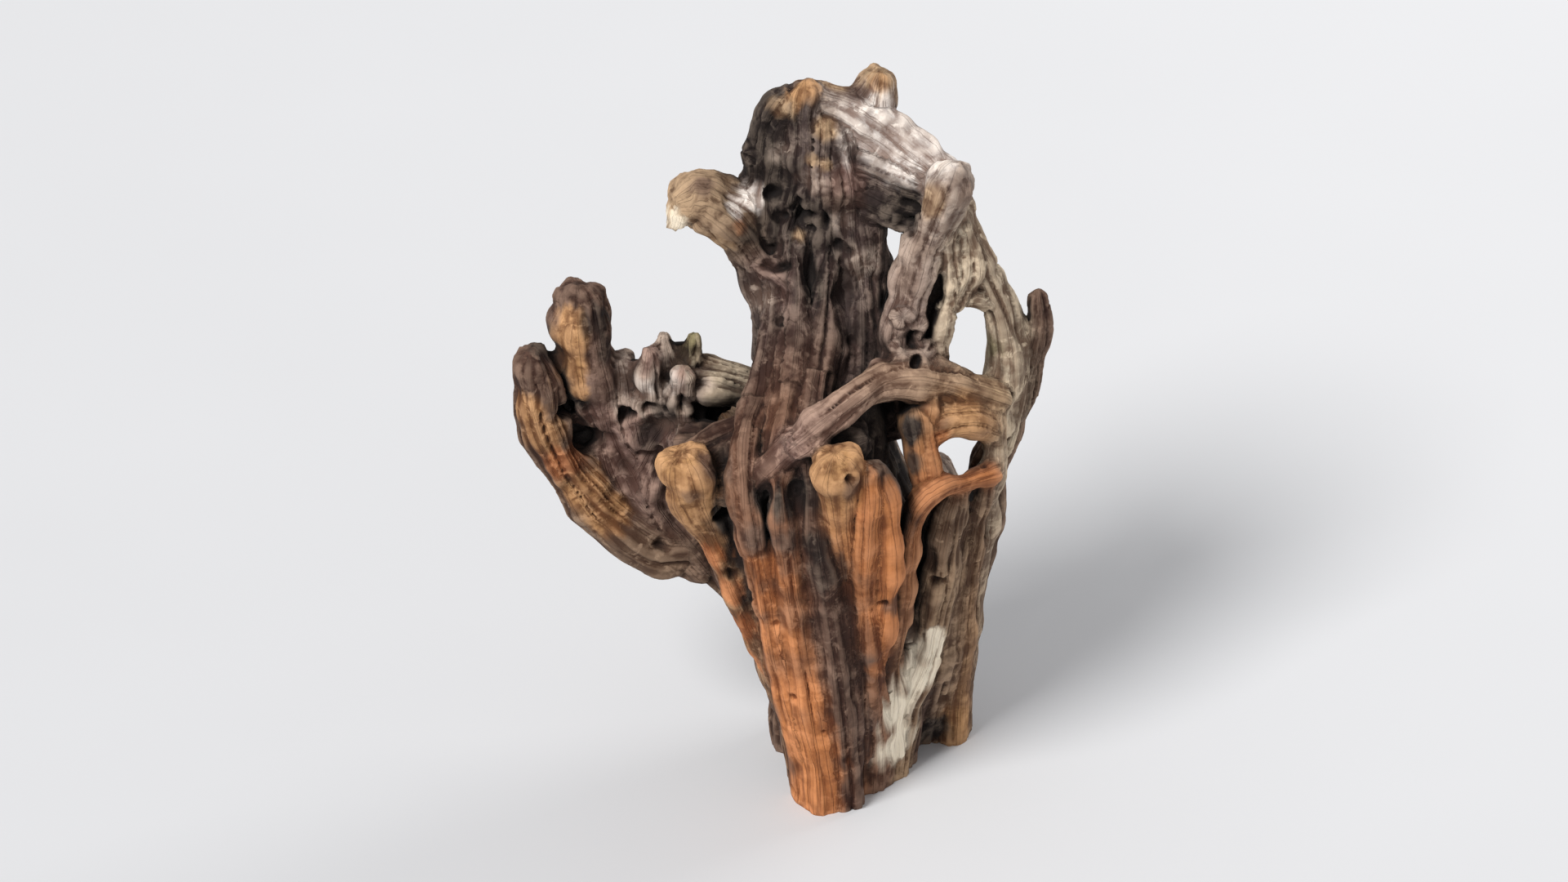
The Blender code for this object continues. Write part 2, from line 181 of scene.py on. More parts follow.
# Root stubs on the left of the crown.
LEFT_CROWN = {
    "horn": ("olive", "umber", [
        (-180, 10, 246, 32), (-208, 8, 250, 33), (-246, 6, 280, 32), (-281, -4, 324, 29),
        (-303, -12, 376, 26), (-315, -16, 426, 23), (-318, -16, 460, 21),
    ]),
    "finger": ("rose", "umber", [
        (-205, 16, 275, 30), (-232, 14, 318, 27), (-250, 12, 365, 23), (-262, 10, 410, 25),
        (-270, 8, 455, 29), (-274, 6, 497, 28), (-275, 4, 518, 24),
    ]),
    "left_mass": ("umber", "rose", [
        (-165, 12, 240, 34), (-205, 15, 295, 29), (-200, 12, 345, 28), (-188, 8, 385, 25),
        (-190, 8, 405, 20),
    ]),
    "outer_lump": ("rose", "ash", [(-222, 14, 370, 22), (-232, 12, 412, 20), (-236, 12, 442, 17)]),
    "spur": ("rose", "rose", [(-212, 4, 396, 18), (-214, 2, 436, 16), (-212, 2, 462, 12)]),
    "inner_lump": ("umber", "ash", [(-194, 14, 390, 20), (-195, 16, 438, 17), (-197, 18, 466, 13)]),
    "third_lump": ("olive", "rose", [(-184, -4, 400, 17), (-182, -8, 430, 13), (-180, -10, 446, 10)]),
    "mossy_tip": ("olive", "moss", [(-172, 16, 395, 20), (-171, 16, 442, 16), (-170, 16, 468, 12)]),
    "pale_ridge": ("olive", "straw", [
        (-182, 14, 434, 20), (-152, 16, 432, 18), (-124, 14, 425, 14), (-96, 10, 411, 15),
    ]),
    "ridge_root": ("umber", "olive", [(-184, 26, 350, 24), (-160, 26, 386, 17), (-146, 24, 400, 12)]),
    "left_bridge": ("umber", "umber", [
        (-176, -22, 376, 22), (-142, -16, 372, 19), (-108, -10, 374, 18), (-80, -5, 380, 20),
    ]),
    "small_knob": ("umber", "tan", [(-96, -2, 392, 14), (-108, -8, 404, 11)]),
    "left_shoulder": ("umber", "umber", [
        (-170, -72, 390, 22), (-146, -62, 402, 21), (-118, -48, 404, 22), (-92, -30, 414, 26),
    ]),
}

# The tall plate at the back, its beak and the pale limb along its top.
PLATE = {
    "plate_core": ("slate", "slate", [
        (-40, 32, 250, 40), (-46, 32, 350, 37), (-52, 38, 430, 33), (-60, 46, 510, 30),
        (-64, 56, 590, 28), (-64, 66, 650, 24), (-62, 70, 692, 18),
    ]),
    "plate_side": ("slate", "slate", [
        (-14, 30, 280, 32), (-12, 32, 380, 28), (-14, 34, 460, 24), (-20, 40, 540, 22),
        (-26, 50, 620, 20), (-34, 58, 670, 18),
    ]),
    "plate_left": ("slate", "soot", [
        (-86, -4, 400, 16), (-90, 10, 455, 16), (-102, 20, 505, 17), (-113, 28, 550, 20),
        (-107, 38, 600, 19), (-102, 48, 645, 17), (-98, 54, 680, 16), (-84, 60, 702, 19),
    ]),
    "plate_front": ("slate", "slate", [
        (-74, -24, 476, 13), (-72, 2, 505, 14), (-78, 14, 545, 14), (-76, 28, 590, 13),
        (-68, 38, 640, 15), (-68, 52, 690, 16), (-66, 60, 711, 19),
    ]),
    "plate_middle": ("slate", "slate", [
        (-44, -28, 446, 14), (-40, -2, 482, 14), (-46, 12, 530, 13), (-44, 22, 580, 12),
        (-47, 32, 630, 14), (-46, 46, 675, 15),
    ]),
    "plate_inner": ("slate", "slate", [
        (-14, -22, 434, 13), (-12, 2, 476, 13), (-14, 14, 530, 13), (-22, 26, 580, 13),
        (-24, 36, 625, 12), (-30, 48, 660, 12),
    ]),
    "plate_right": ("umber", "slate", [
        (8, -6, 410, 18), (5, 8, 470, 15), (-2, 20, 525, 14), (1, 30, 570, 14), (-4, 38, 610, 16),
        (-12, 46, 640, 16),
    ]),
    "fold": ("rose", "rose", [
        (-118, 18, 556, 10), (-98, 8, 552, 11), (-84, 6, 536, 11), (-74, 0, 510, 11),
    ]),
    "beak": ("slate", "tan", [
        (-106, 30, 540, 22), (-127, 30, 580, 27), (-149, 26, 612, 29), (-168, 20, 622, 22),
        (-180, 15, 612, 11), (-185, 12, 601, 5),
    ]),
    "edge_bump": ("soot", "soot", [(-100, 50, 646, 14), (-117, 47, 652, 12)]),
    "pale_limb": ("ash", "bone", [
        (-56, 66, 704, 18), (-24, 66, 690, 21), (6, 58, 672, 23), (34, 44, 656, 22), (60, 22, 646, 21),
    ]),
    "top_nub": ("ash", "tan", [(-2, 74, 688, 20), (2, 76, 708, 23)]),
    "dark_fill": ("slate", "slate", [(-5, 44, 642, 18), (24, 32, 638, 17), (50, 14, 632, 17)]),
    "dark_link": ("soot", "soot", [(-8, 34, 612, 17), (22, 20, 606, 16), (50, 6, 613, 16)]),
    "back_rib_left": ("slate", "ash", [
        (-98, 62, 420, 14), (-102, 60, 510, 15), (-96, 68, 590, 14), (-86, 76, 650, 12),
    ]),
    "back_rib_right": ("slate", "ash", [
        (-22, 66, 420, 15), (-24, 66, 510, 15), (-32, 76, 600, 14), (-42, 84, 656, 12),
    ]),
}

# The frame of thin roots on the right, with the windows between them.
RIGHT_CROWN = {
    "rim_ridge": ("rose", "tan", [
        (-74, -114, 434, 15), (-50, -108, 452, 16), (-20, -84, 464, 16), (12, -56, 468, 17),
        (57, -35, 452, 19), (112, -10, 416, 19),
    ]),
    "arch": ("umber", "amber", [(44, -50, 408, 19), (80, -44, 418, 20), (110, -22, 392, 18)]),
    "window_post": ("amber", "rust", [(40, -56, 420, 16), (50, -80, 370, 12)]),
    "limb": ("rose", "ash", [
        (-10, 10, 380, 22), (26, -10, 405, 22), (27, -15, 455, 20), (25, -12, 496, 19),
        (34, -8, 534, 17), (45, -4, 575, 18), (57, 0, 613, 22), (66, 4, 640, 27),
    ]),
    "limb_knot": ("rose", "rose", [(30, -26, 470, 14), (38, -34, 460, 11)]),
    "recess": ("soot", "soot", [
        (54, 16, 596, 13), (52, 12, 545, 12), (50, 8, 500, 12), (48, 4, 450, 14),
    ]),
    "sheet": ("straw", "straw", [(72, 4, 606, 15), (84, 8, 578, 15), (92, 10, 545, 12)]),
    "outer_frame": ("straw", "straw", [
        (72, 6, 625, 19), (83, 10, 605, 17), (95, 14, 563, 16), (112, 18, 515, 16), (122, 18, 474, 16),
        (124, 12, 425, 18), (116, 0, 385, 19),
    ]),
    "pale_panel": ("straw", "straw", [
        (110, 24, 535, 12), (124, 28, 495, 13), (133, 29, 450, 14), (132, 22, 400, 15),
        (120, 6, 360, 14),
    ]),
    "inner_frame": ("straw", "straw", [
        (68, -4, 600, 12), (72, -8, 551, 10), (64, -10, 512, 9), (59, -12, 472, 9), (64, -15, 435, 11),
        (75, -20, 410, 13),
    ]),
    "frame_top": ("straw", "straw", [(64, -8, 522, 9), (85, 2, 524, 10), (108, 14, 514, 12)]),
    "right_horn": ("olive", "umber", [
        (76, 56, -30, 21), (80, 54, 80, 22), (92, 48, 170, 22), (100, 42, 240, 21), (107, 34, 305, 19),
        (126, 33, 362, 16), (143, 34, 398, 13), (156, 35, 466, 11), (154, 35, 504, 9),
    ]),
}

# Low strands that ease the joins between the others.
EASING = {
    "valley_fill": ("umber", "soot", [
        (-14, -62, 60, 16), (-16, -76, 160, 17), (-22, -90, 240, 17), (-30, -100, 310, 16),
    ]),
    "left_collar": ("umber", "soot", [
        (-156, -84, 366, 22), (-128, -88, 380, 22), (-100, -96, 388, 20), (-66, -100, 392, 20),
    ]),
    "left_ridge": ("umber", "slate", [
        (-112, -50, 436, 15), (-104, -22, 464, 13), (-97, -4, 505, 9), (-96, 6, 548, 6),
    ]),
    "front_ridge": ("umber", "slate", [
        (-80, -52, 458, 14), (-74, -22, 492, 12), (-72, -4, 532, 9), (-74, 8, 576, 6),
    ]),
    "right_ridge": ("umber", "slate", [
        (-52, -40, 462, 16), (-48, -14, 492, 12), (-44, 0, 535, 8), (-43, 12, 572, 5),
    ]),
    "ridge_low": ("straw", "straw", [
        (-178, 2, 424, 12), (-152, 0, 424, 13), (-126, 2, 416, 11), (-108, 2, 408, 9),
    ]),
    "sheet_fill": ("straw", "straw", [
        (74, -2, 524, 13), (84, 2, 550, 17), (86, 4, 580, 16), (80, 4, 604, 14),
    ]),
    "ridge_foot": ("umber", "rose", [(-112, -110, 384, 9), (-96, -114, 410, 13), (-72, -112, 436, 16)]),
    "post_top": ("rust", "amber", [(46, -66, 396, 11), (50, -54, 426, 11), (56, -42, 452, 11)]),
    "high_knot": ("rose", "ash", [(26, -18, 516, 10), (26, -27, 521, 10)]),
    "left_knot": ("rose", "ash", [(26, -22, 482, 12), (26, -33, 487, 12)]),
    "right_knot": ("rose", "ash", [(44, -24, 482, 10), (45, -34, 486, 9)]),
    "small_knot": ("rose", "ash", [(40, -18, 506, 9), (41, -26, 509, 8)]),
    "arch_back": ("rose", "olive", [(6, -44, 462, 18), (44, -28, 462, 18), (80, -18, 438, 18)]),
}

STRANDS = {**TRUNK, **LEFT_CROWN, **PLATE, **RIGHT_CROWN, **EASING}

# Places worn smoother than their strands: centre, radius and smoothing passes.
SMOOTH_PLACES = (
    ((-40, -80, 30), 90, 40),
    ((-50, -90, 120), 70, 40),
    ((-66, -98, 200), 60, 24),
    ((-84, -110, 290), 46, 10),
    ((80, 20, 60), 70, 12),
    ((76, 0, 200), 70, 12),
    ((-70, 30, 560), 80, 26),
    ((-60, 40, 650), 90, 26),
    ((-30, 20, 480), 60, 16),
    ((-230, 10, 300), 80, 24),
    ((-190, 10, 350), 60, 16),
    ((100, 10, 480), 90, 8),
    ((-110, -80, 396), 40, 12),
    ((-86, -40, 460), 60, 18),
    ((-40, -10, 470), 50, 14),
    ((-78, -112, 428), 36, 16),
)

# Places with large uneven lumps: centre, radius and height.
LUMPY_PLACES = (
    ((-70, 30, 620), 130, 8),
    ((-60, 10, 520), 90, 6),
    ((-215, 5, 360), 110, 14),
    ((30, 0, 560), 110, 6),
    ((-176, -96, 396), 50, 7),
    ((-36, -140, 424), 40, 6),
    ((60, -30, 430), 70, 4),
    ((20, 50, 670), 80, 8),
    ((-276, 0, 520), 50, 4),
    ((-316, -16, 470), 40, 4),
    ((-150, 20, 610), 60, 5),
)

# Stains and bleached places, with some spots of painted shade, each over the ones before it: a tone and its
# spots, as a centre, a radius and a strength from 0 to 1.
STAINS = (
    ("rust", [
        (-58, -96, 30, 38, 1.0), (-62, -98, 90, 36, 1.0), (-70, -102, 150, 30, 1.0),
        (-88, -102, 215, 24, 0.9), (-101, -116, 262, 18, 1.0), (-107, -122, 300, 17, 1.0),
    ]),
    # Partly dark stain, partly painted shade: the umber and soot spots of the next four rows darken the
    # valleys at the top of the column.
    ("umber", [(-113, -128, 346, 20, 0.9)]),
    ("soot", [(-104, -126, 384, 20, 0.8)]),
    ("umber", [(-86, -134, 338, 16, 0.9)]),
    ("soot", [(-84, -132, 376, 16, 0.7)]),
    ("rust", [(-79, -128, 288, 13, 0.8)]),
    ("umber", [
        (-84, -72, 50, 16, 0.7), (-92, -78, 120, 16, 0.7), (-10, -86, 30, 26, 0.9),
        (-14, -92, 100, 26, 0.9), (-22, -98, 170, 26, 0.9), (-40, -110, 235, 26, 0.9),
    ]),
    # Partly dark stain, partly painted shade: these soot spots darken the valleys between the knobs, the left
    # flute and the column.
    ("soot", [
        (-44, -120, 300, 26, 0.7), (-30, -110, 350, 20, 0.8), (-66, -116, 385, 26, 0.8),
        (-58, -122, 330, 18, 0.8), (-98, -110, 372, 20, 0.9), (-132, -100, 350, 28, 1.0),
        (-124, -96, 300, 22, 0.9), (-112, -88, 250, 16, 0.8),
    ]),
    ("rust", [
        (-150, -92, 300, 18, 1.0), (-136, -84, 255, 17, 0.9), (-120, -74, 210, 20, 1.0),
        (-104, -66, 165, 16, 0.9),
    ]),
    ("amber", [(-186, -116, 402, 30, 0.8)]),
    # Painted shade: these umber spots darken the right side of the left knob and the place under it.
    ("umber", [(-150, -112, 410, 18, 0.9), (-170, -124, 384, 12, 0.6)]),
    ("amber", [(-36, -156, 428, 20, 0.7)]),
    ("soot", [(20, -96, 410, 26, 0.9), (22, -88, 350, 22, 0.9)]),
    ("rust", [
        (-8, -140, 372, 12, 1.0), (-4, -126, 310, 12, 1.0), (0, -108, 240, 12, 1.0),
        (4, -92, 170, 12, 0.8),
    ]),
    ("soot", [(8, -128, 426, 18, 0.9)]),
    # Painted shade: the first umber spot of this row darkens the right side of the centre knob.
    ("umber", [
        (-18, -152, 410, 13, 0.7), (15, -120, 388, 14, 0.9), (20, -112, 325, 12, 0.8),
        (16, -104, 250, 12, 0.8), (-18, -120, 392, 12, 0.8),
    ]),
    ("cream", [
        (27, -54, 52, 27, 1.0), (33, -60, 92, 29, 1.0), (42, -60, 128, 26, 1.0), (54, -60, 158, 20, 1.0),
        (59, -58, 178, 12, 1.0),
    ]),
    ("amber", [(84, 22, 34, 22, 0.7)]),
    # Painted shade: the first soot spot darkens the gap at the foot, between the split place and the right
    # leg.
    ("soot", [(60, 14, 22, 20, 1.0), (66, -24, 270, 14, 0.9)]),
    ("amber", [(-322, -32, 424, 18, 1.0), (-308, -36, 392, 22, 1.0)]),
    ("rust", [(-290, -36, 356, 22, 0.8)]),
    ("amber", [(-270, -34, 324, 24, 1.0), (-248, -28, 294, 22, 1.0)]),
    ("soot", [(-306, -12, 476, 20, 0.8), (-284, -8, 424, 22, 1.0)]),
    ("amber", [
        (-288, -18, 512, 14, 1.0), (-285, -22, 490, 20, 1.0), (-280, -22, 462, 19, 1.0),
        (-272, -16, 438, 13, 1.0),
    ]),
    ("soot", [(-252, -10, 508, 20, 0.8), (-252, -10, 470, 16, 0.7)]),
    ("rose", [(-252, -6, 400, 20, 0.9), (-226, -6, 380, 24, 0.9)]),
    ("ash", [(-214, -10, 430, 34, 1.0), (-196, -14, 392, 24, 0.8)]),
    ("bone", [(-214, -18, 434, 14, 0.6), (-190, -20, 440, 14, 0.5)]),
    ("rose", [(-186, -12, 372, 16, 0.8)]),
    ("soot", [(-190, 0, 404, 16, 0.8), (-210, -10, 376, 16, 0.8)]),
    ("straw", [(-146, 4, 440, 34, 1.0)]),
    ("ash", [(-172, 0, 426, 20, 0.9)]),
    ("soot", [(-124, 34, 660, 30, 1.0), (-100, 44, 692, 26, 1.0), (-104, 32, 622, 22, 0.9)]),
    ("ash", [(-88, 26, 664, 12, 0.6)]),
    ("soot", [(-84, 20, 640, 22, 0.7), (-72, 10, 600, 32, 0.9), (-46, 10, 584, 24, 0.8)]),
    ("rose", [(-56, 24, 640, 16, 0.5)]),
    ("ash", [(-30, 20, 600, 14, 0.5)]),
    ("amber", [(-66, 50, 722, 18, 0.9)]),
    ("tan", [
        (-38, 66, 706, 16, 0.9), (-42, 34, 690, 14, 0.9), (-44, 24, 656, 7, 0.9), (-66, 8, 596, 8, 0.8),
    ]),
    ("umber", [(-30, 20, 620, 20, 0.6)]),
    ("bone", [(-112, 10, 640, 16, 1.0), (-120, 4, 626, 12, 1.0)]),
    ("cream", [(-182, 6, 604, 14, 0.9)]),
    ("umber", [(-160, 10, 640, 12, 0.8)]),
    ("tan", [(-146, 2, 578, 16, 0.8)]),
    ("rust", [(-124, 0, 600, 9, 0.4)]),
    ("soot", [(-116, 4, 586, 12, 0.7), (-56, 10, 536, 24, 0.9), (-92, 14, 594, 20, 0.8)]),
    ("ash", [
        (-106, 12, 520, 18, 0.8), (-88, -6, 474, 18, 0.7), (-14, 10, 556, 20, 0.75),
        (-64, 18, 640, 14, 0.6),
    ]),
    ("rose", [(-22, 20, 640, 16, 0.8), (-38, -12, 466, 20, 0.6)]),
    ("tan", [(-88, 42, 704, 12, 0.7), (-58, 20, 662, 7, 0.8)]),
    ("bone", [
        (-16, 48, 700, 20, 1.0), (10, 38, 684, 38, 1.0), (44, 18, 664, 34, 1.0), (26, 30, 674, 26, 0.9),
    ]),
    ("tan", [(56, -12, 644, 18, 0.8)]),
    ("umber", [(74, -8, 652, 18, 0.6)]),
    ("soot", [(30, 2, 616, 24, 1.0), (52, -2, 540, 13, 0.9)]),
    ("umber", [(30, -22, 556, 18, 0.5), (44, -16, 590, 14, 0.5)]),
    ("soot", [(50, -6, 490, 12, 0.9)]),
    ("amber", [(84, -54, 424, 22, 0.9)]),
    ("rust", [(62, -72, 408, 13, 0.7)]),
    # Painted shade: these soot spots darken the left side of the window post.
    ("soot", [(36, -66, 424, 15, 1.0), (40, -78, 392, 11, 0.9)]),
    ("umber", [(96, -44, 360, 12, 0.6)]),
    ("moss", [(96, 0, 470, 12, 0.8)]),
    ("umber", [(-16, 62, 712, 12, 0.8)]),
    ("amber", [(4, 62, 722, 12, 0.7), (-156, 96, 320, 24, 0.7)]),
    ("umber", [(56, 134, 262, 24, 0.6)]),
    ("bone", [(-64, 100, 570, 26, 0.6)]),
    ("soot", [(-30, 60, 500, 26, 0.7)]),
)

# Hollows worn into the surface: centre, radius and depth.
HOLLOWS = (
    ((-20, -160, 424), 9, 6),
    ((-68, 14, 600), 20, 13),
    ((-44, 12, 596), 12, 8),
    ((-92, 6, 556), 14, 8),
    ((-96, 24, 620), 12, 6),
    ((-30, 24, 570), 12, 7),
    ((36, -34, 500), 8, 6),
    ((38, -40, 474), 8, 6),
    ((-290, -14, 412), 18, 11),
    ((-232, -8, 400), 14, 9),
    ((-206, -14, 410), 14, 9),
    ((-176, -18, 416), 12, 8),
    ((-206, -24, 350), 18, 10),
    ((-136, -100, 352), 16, 9),
    ((-100, -116, 366), 10, 7),
    ((60, -62, 250), 12, 8),
    ((70, -44, 290), 12, 8),
    ((28, -4, 616), 18, 12),
    ((-30, 130, 330), 15, 8),
    ((-120, 124, 270), 14, 8),
    ((-40, 100, 520), 14, 8),
    ((44, 110, 150), 14, 8),
)

# How ridged the wood of a tone is, where it isn't fully weathered.
RIDGED = {"rust": 0.25, "amber": 0.6, "tan": 0.7, "cream": 0.6, "bone": 0.7}

# How the fused skin is worn, as the solid's own surface is. A swelling has a width and a height.
ROUNDING_PASSES = 6
CREASE_PASSES = 20
CREASE_GAIN = 0.7
LEAST_ROUGH = 0.3
SWELLINGS = ((70.0 * MM, 8.0 * MM), (30.0 * MM, 4.0 * MM))
SWELLING_SEED = Vector((3.1, 7.7, 1.9))

# How far the tones of neighbouring strands run into each other, how much the grain is shifted from
# one strand to the next, and how many places are worked out at a time.
TONE_BLEND = 4.0 * MM
STRAND_SHIFT = 0.7
FIELD_CHUNK = 4000

# Relief that follows the grain: its width across, its run along and its seed.
RIDGES = (14 * MM, 400 * MM, 1.0)
RIPPLES = (8 * MM, 240 * MM, 2.0)
CHECKS = (26 * MM, 500 * MM, 3.0)
SPLINTERS = (9 * MM, 90 * MM, 4.0)
STAIN_EDGE = (8 * MM, 60 * MM, 5.0)

# How wide the valleys of such relief are, in the noise's own measure.
RIDGE_VALLEY = 0.2
CHECK_VALLEY = 0.14
SPLINTER_VALLEY = 0.5

# The height of a ridge's crest above the plain surface, as a share of its depth.
RIDGE_CREST = 0.3

# How much of the ripples and the checks stays where the wood is worn smooth.
SMOOTH_RIPPLES = 0.3
SMOOTH_CHECKS = 0.4

# Lumps: a coarse size, a fine size and the fine ones' share. Checks come in patches of one size.
LUMPS = (32 * MM, 13 * MM, 0.25)
END_LUMPS = (15 * MM, 7 * MM, 0.5)
CHECKED_PATCH = 60 * MM
HOLLOW_EDGE = 11 * MM

# Beyond this many radii a stain or a hollow has no effect.
FARTHEST = 1.6

# Random pits: the seed, and the least and the most of their radii and of their depth to radius.
PIT_SEED = 11
PIT_RADII = (5.0, 11.0)
PIT_DEPTHS = (0.2, 0.6)

# Rays that find how open a place is: their number and their reach.
OPEN_RAYS = 16
OPEN_REACH = 90 * MM

# Tints: painted shade in the crevices, and what darkens, brightens and bleaches a tone.
CREVICE_SHADE = (0.012, 0.009, 0.008, 1.0)
SHADE = (0.30, 0.22, 0.19, 1.0)
GLOW = (1.55, 1.5, 1.45, 1.0)
BLEACH = (0.60, 0.48, 0.36, 1.0)

# Mottling of the wood, coarse to fine: scale, detail, roughness and distortion.
MOTTLES = {
    "clouds": (15.0, 3.0, 0.55, 0.8),
    "blotches": (34.0, 5.0, 0.65, 0.0),
    "patches": (70.0, 3.0, 0.6, 0.6),
    "speckles": (160.0, 3.0, 0.6, 0.0),
}

# Layers of colour over the tone: what drives it, the values where it starts and where it is full,
# its greatest strength, where it lies and its shade.
LAYERS = (
    ("Streaks", 0.55, 0.38, 0.9, "streaked", "dark"),
    ("Streaks", 0.56, 0.70, 0.5, "side", "pale"),
    ("Fibres", 0.48, 0.28, 0.6, "side", "dark"),
    ("Cracks", 0.0, 1.0, 0.75, "streaked", "dark"),
    ("clouds", 0.50, 0.40, 0.6, "mottled", "dark"),
    ("clouds", 0.53, 0.62, 0.65, "mottled", "pale"),
    ("blotches", 0.52, 0.38, 0.85, "mottled", "dark"),
    ("blotches", 0.55, 0.67, 0.75, "mottled", "pale"),
    ("patches", 0.47, 0.36, 0.8, "mottled", "dark"),
    ("patches", 0.56, 0.66, 0.7, "mottled", "pale"),
    ("speckles", 0.46, 0.32, 0.5, "mottled", "dark"),
    # The edge rows: ridges that stand out go pale, partly wear and partly painted highlight; creases go dark,
    # which is painted shade.
    ("edge", 0.25, 1.4, 0.55, "whole", "pale"),
    ("edge", -0.15, -1.2, 0.9, "whole", "dark"),
)

# The stage, in metres.
FLOOR_RADIUS = 30.0
KEY_DIRECTION = Vector((3.2, 3.6, -5.4))
RIM_PLACE = (3.6, 2.6, 4.0)
RIM_SIZE = 2.4
FAR_CLIP = 100.0


def display(red, green, blue):
    """A colour as it shows on a screen, 0 to 255, as the linear values that Blender keeps."""
    channels = [value / 255 for value in (red, green, blue)]
    return tuple(c / 12.92 if c <= 0.04045 else ((c + 0.055) / 1.055) ** 2.4 for c in channels)


def colour(name, description, *shown):
    """A colour setting, whose default is given as it shows on a screen."""
    return FloatVectorProperty(
        name=name, description=description, subtype="COLOR", size=3, min=0.0, max=1.0, default=display(*shown)
    )


def length(name, description, default):
    """A length setting, in metres."""
    return FloatProperty(name=name, description=description, unit="LENGTH", min=0.0, default=default)


class DriftwoodShape(bpy.types.PropertyGroup):
    """Sizes of the wood's surface."""

    voxel: length("Voxel", "Size of the faces of the fused skin", 3.1 * MM)
    strand_step: length("Strand step", "Distance between samples along a strand", 7.0 * MM)
    tube_sides: IntProperty(name="Tube sides", description="Sides of each strand's tube", min=6, default=16)
    ridge_depth: length("Ridge depth", "Depth of the valleys between ridges of grain", 2.8 * MM)
    ripple_depth: length("Ripple depth", "Depth of the finer ridges on them", 1.6 * MM)
    check_depth: length("Check depth", "Depth of the drying cracks along the grain", 4.5 * MM)
    lump_height: length("Lump height", "Height of the uneven lumps", 2.5 * MM)
    end_depth: length("End depth", "Roughness of the broken ends of the strands", 4.0 * MM)
    splinter_depth: length("Splinter depth", "Depth between the splinters of the split place", 4.5 * MM)
    pit_count: IntProperty(name="Pits", description="Number of small worn pits", min=0, default=60)
    triangles: IntProperty(
        name="Triangles", description="Most triangles in the skin", min=1000, default=192000
    )


class DriftwoodTones(bpy.types.PropertyGroup):
    """Colours of the wood, from fresh to weathered."""

    rust: colour("Rust", "Orange sapwood, worn smooth", 200, 128, 76)
    amber: colour("Amber", "Golden brown on worn knobs", 184, 138, 92)
    tan: colour("Tan", "Light brown", 176, 146, 112)
    straw: colour("Straw", "Dry pale wood", 196, 180, 156)
    bone: colour("Bone", "Bleached wood", 238, 230, 222)
    cream: colour("Cream", "Wood that has split open lately", 255, 241, 216)
    rose: colour("Rose", "Pinkish grey-brown", 146, 118, 108)
    ash: colour("Ash", "Weathered grey", 164, 148, 136)
    olive: colour("Olive", "Greenish grey-brown", 134, 110, 88)
    umber: colour("Umber", "Dark brown", 96, 70, 58)
    slate: colour("Slate", "Dark purplish grey", 88, 74, 70)
    soot: colour("Soot", "Near-black stain", 46, 36, 33)
    moss: colour("Moss", "Greenish dark tan", 110, 104, 68)


class DriftwoodStage(bpy.types.PropertyGroup):
    """The floor, the lights and the camera."""

    floor: colour("Floor", "Colour of the floor", 216, 216, 217)
    glow: colour("Glow", "Colour of the light from all round", 232, 233, 236)
    backdrop: colour("Backdrop", "Colour seen behind the floor", 220, 221, 223)
    elevation: FloatProperty(
        name="Elevation",
        description="Camera's height above the horizon",
        subtype="ANGLE",
        default=math.radians(33.25),
    )
    distance: length("Distance", "From the camera to the driftwood", 8.0)
    lens: FloatProperty(name="Lens", description="Focal length", unit="CAMERA", default=195.0)
    glow_strength: FloatProperty(name="Glow strength", description="Brightness all round", default=0.52)
    key_strength: FloatProperty(name="Key strength", description="Strength of the main light", default=2.7)
    key_softness: FloatProperty(
        name="Key softness", description="Width of the main light", subtype="ANGLE", default=math.radians(22)
    )
    rim_power: FloatProperty(
        name="Rim power", description="Power of the softbox behind", unit="POWER", default=80.0
    )


def unit(vectors):
    """The vectors, each made one long."""
    return vectors / np.maximum(np.linalg.norm(vectors, axis=-1, keepdims=True), 1e-9)


def strand_line(points, step):
    """Samples of (x, y, z, radius), in metres, on the smooth line through a strand's points."""
    own = np.array(points, float) * MM
    own = np.vstack([own[0] * 2 - own[1], own, own[-1] * 2 - own[-2]])
    line = []
    for a, b, c, d in zip(own, own[1:], own[2:], own[3:]):
        steps = max(2, round(np.linalg.norm((c - b)[:3]) / step))
        for t in np.arange(steps) / steps:
            way = (c - a) * t
            bend = (a * 2 - b * 5 + c * 4 - d) * t**2
            twist = (b * 3 - a - c * 3 + d) * t**3
            line.append((b * 2 + way + bend + twist) / 2)
    return np.array([*line, own[-2]])


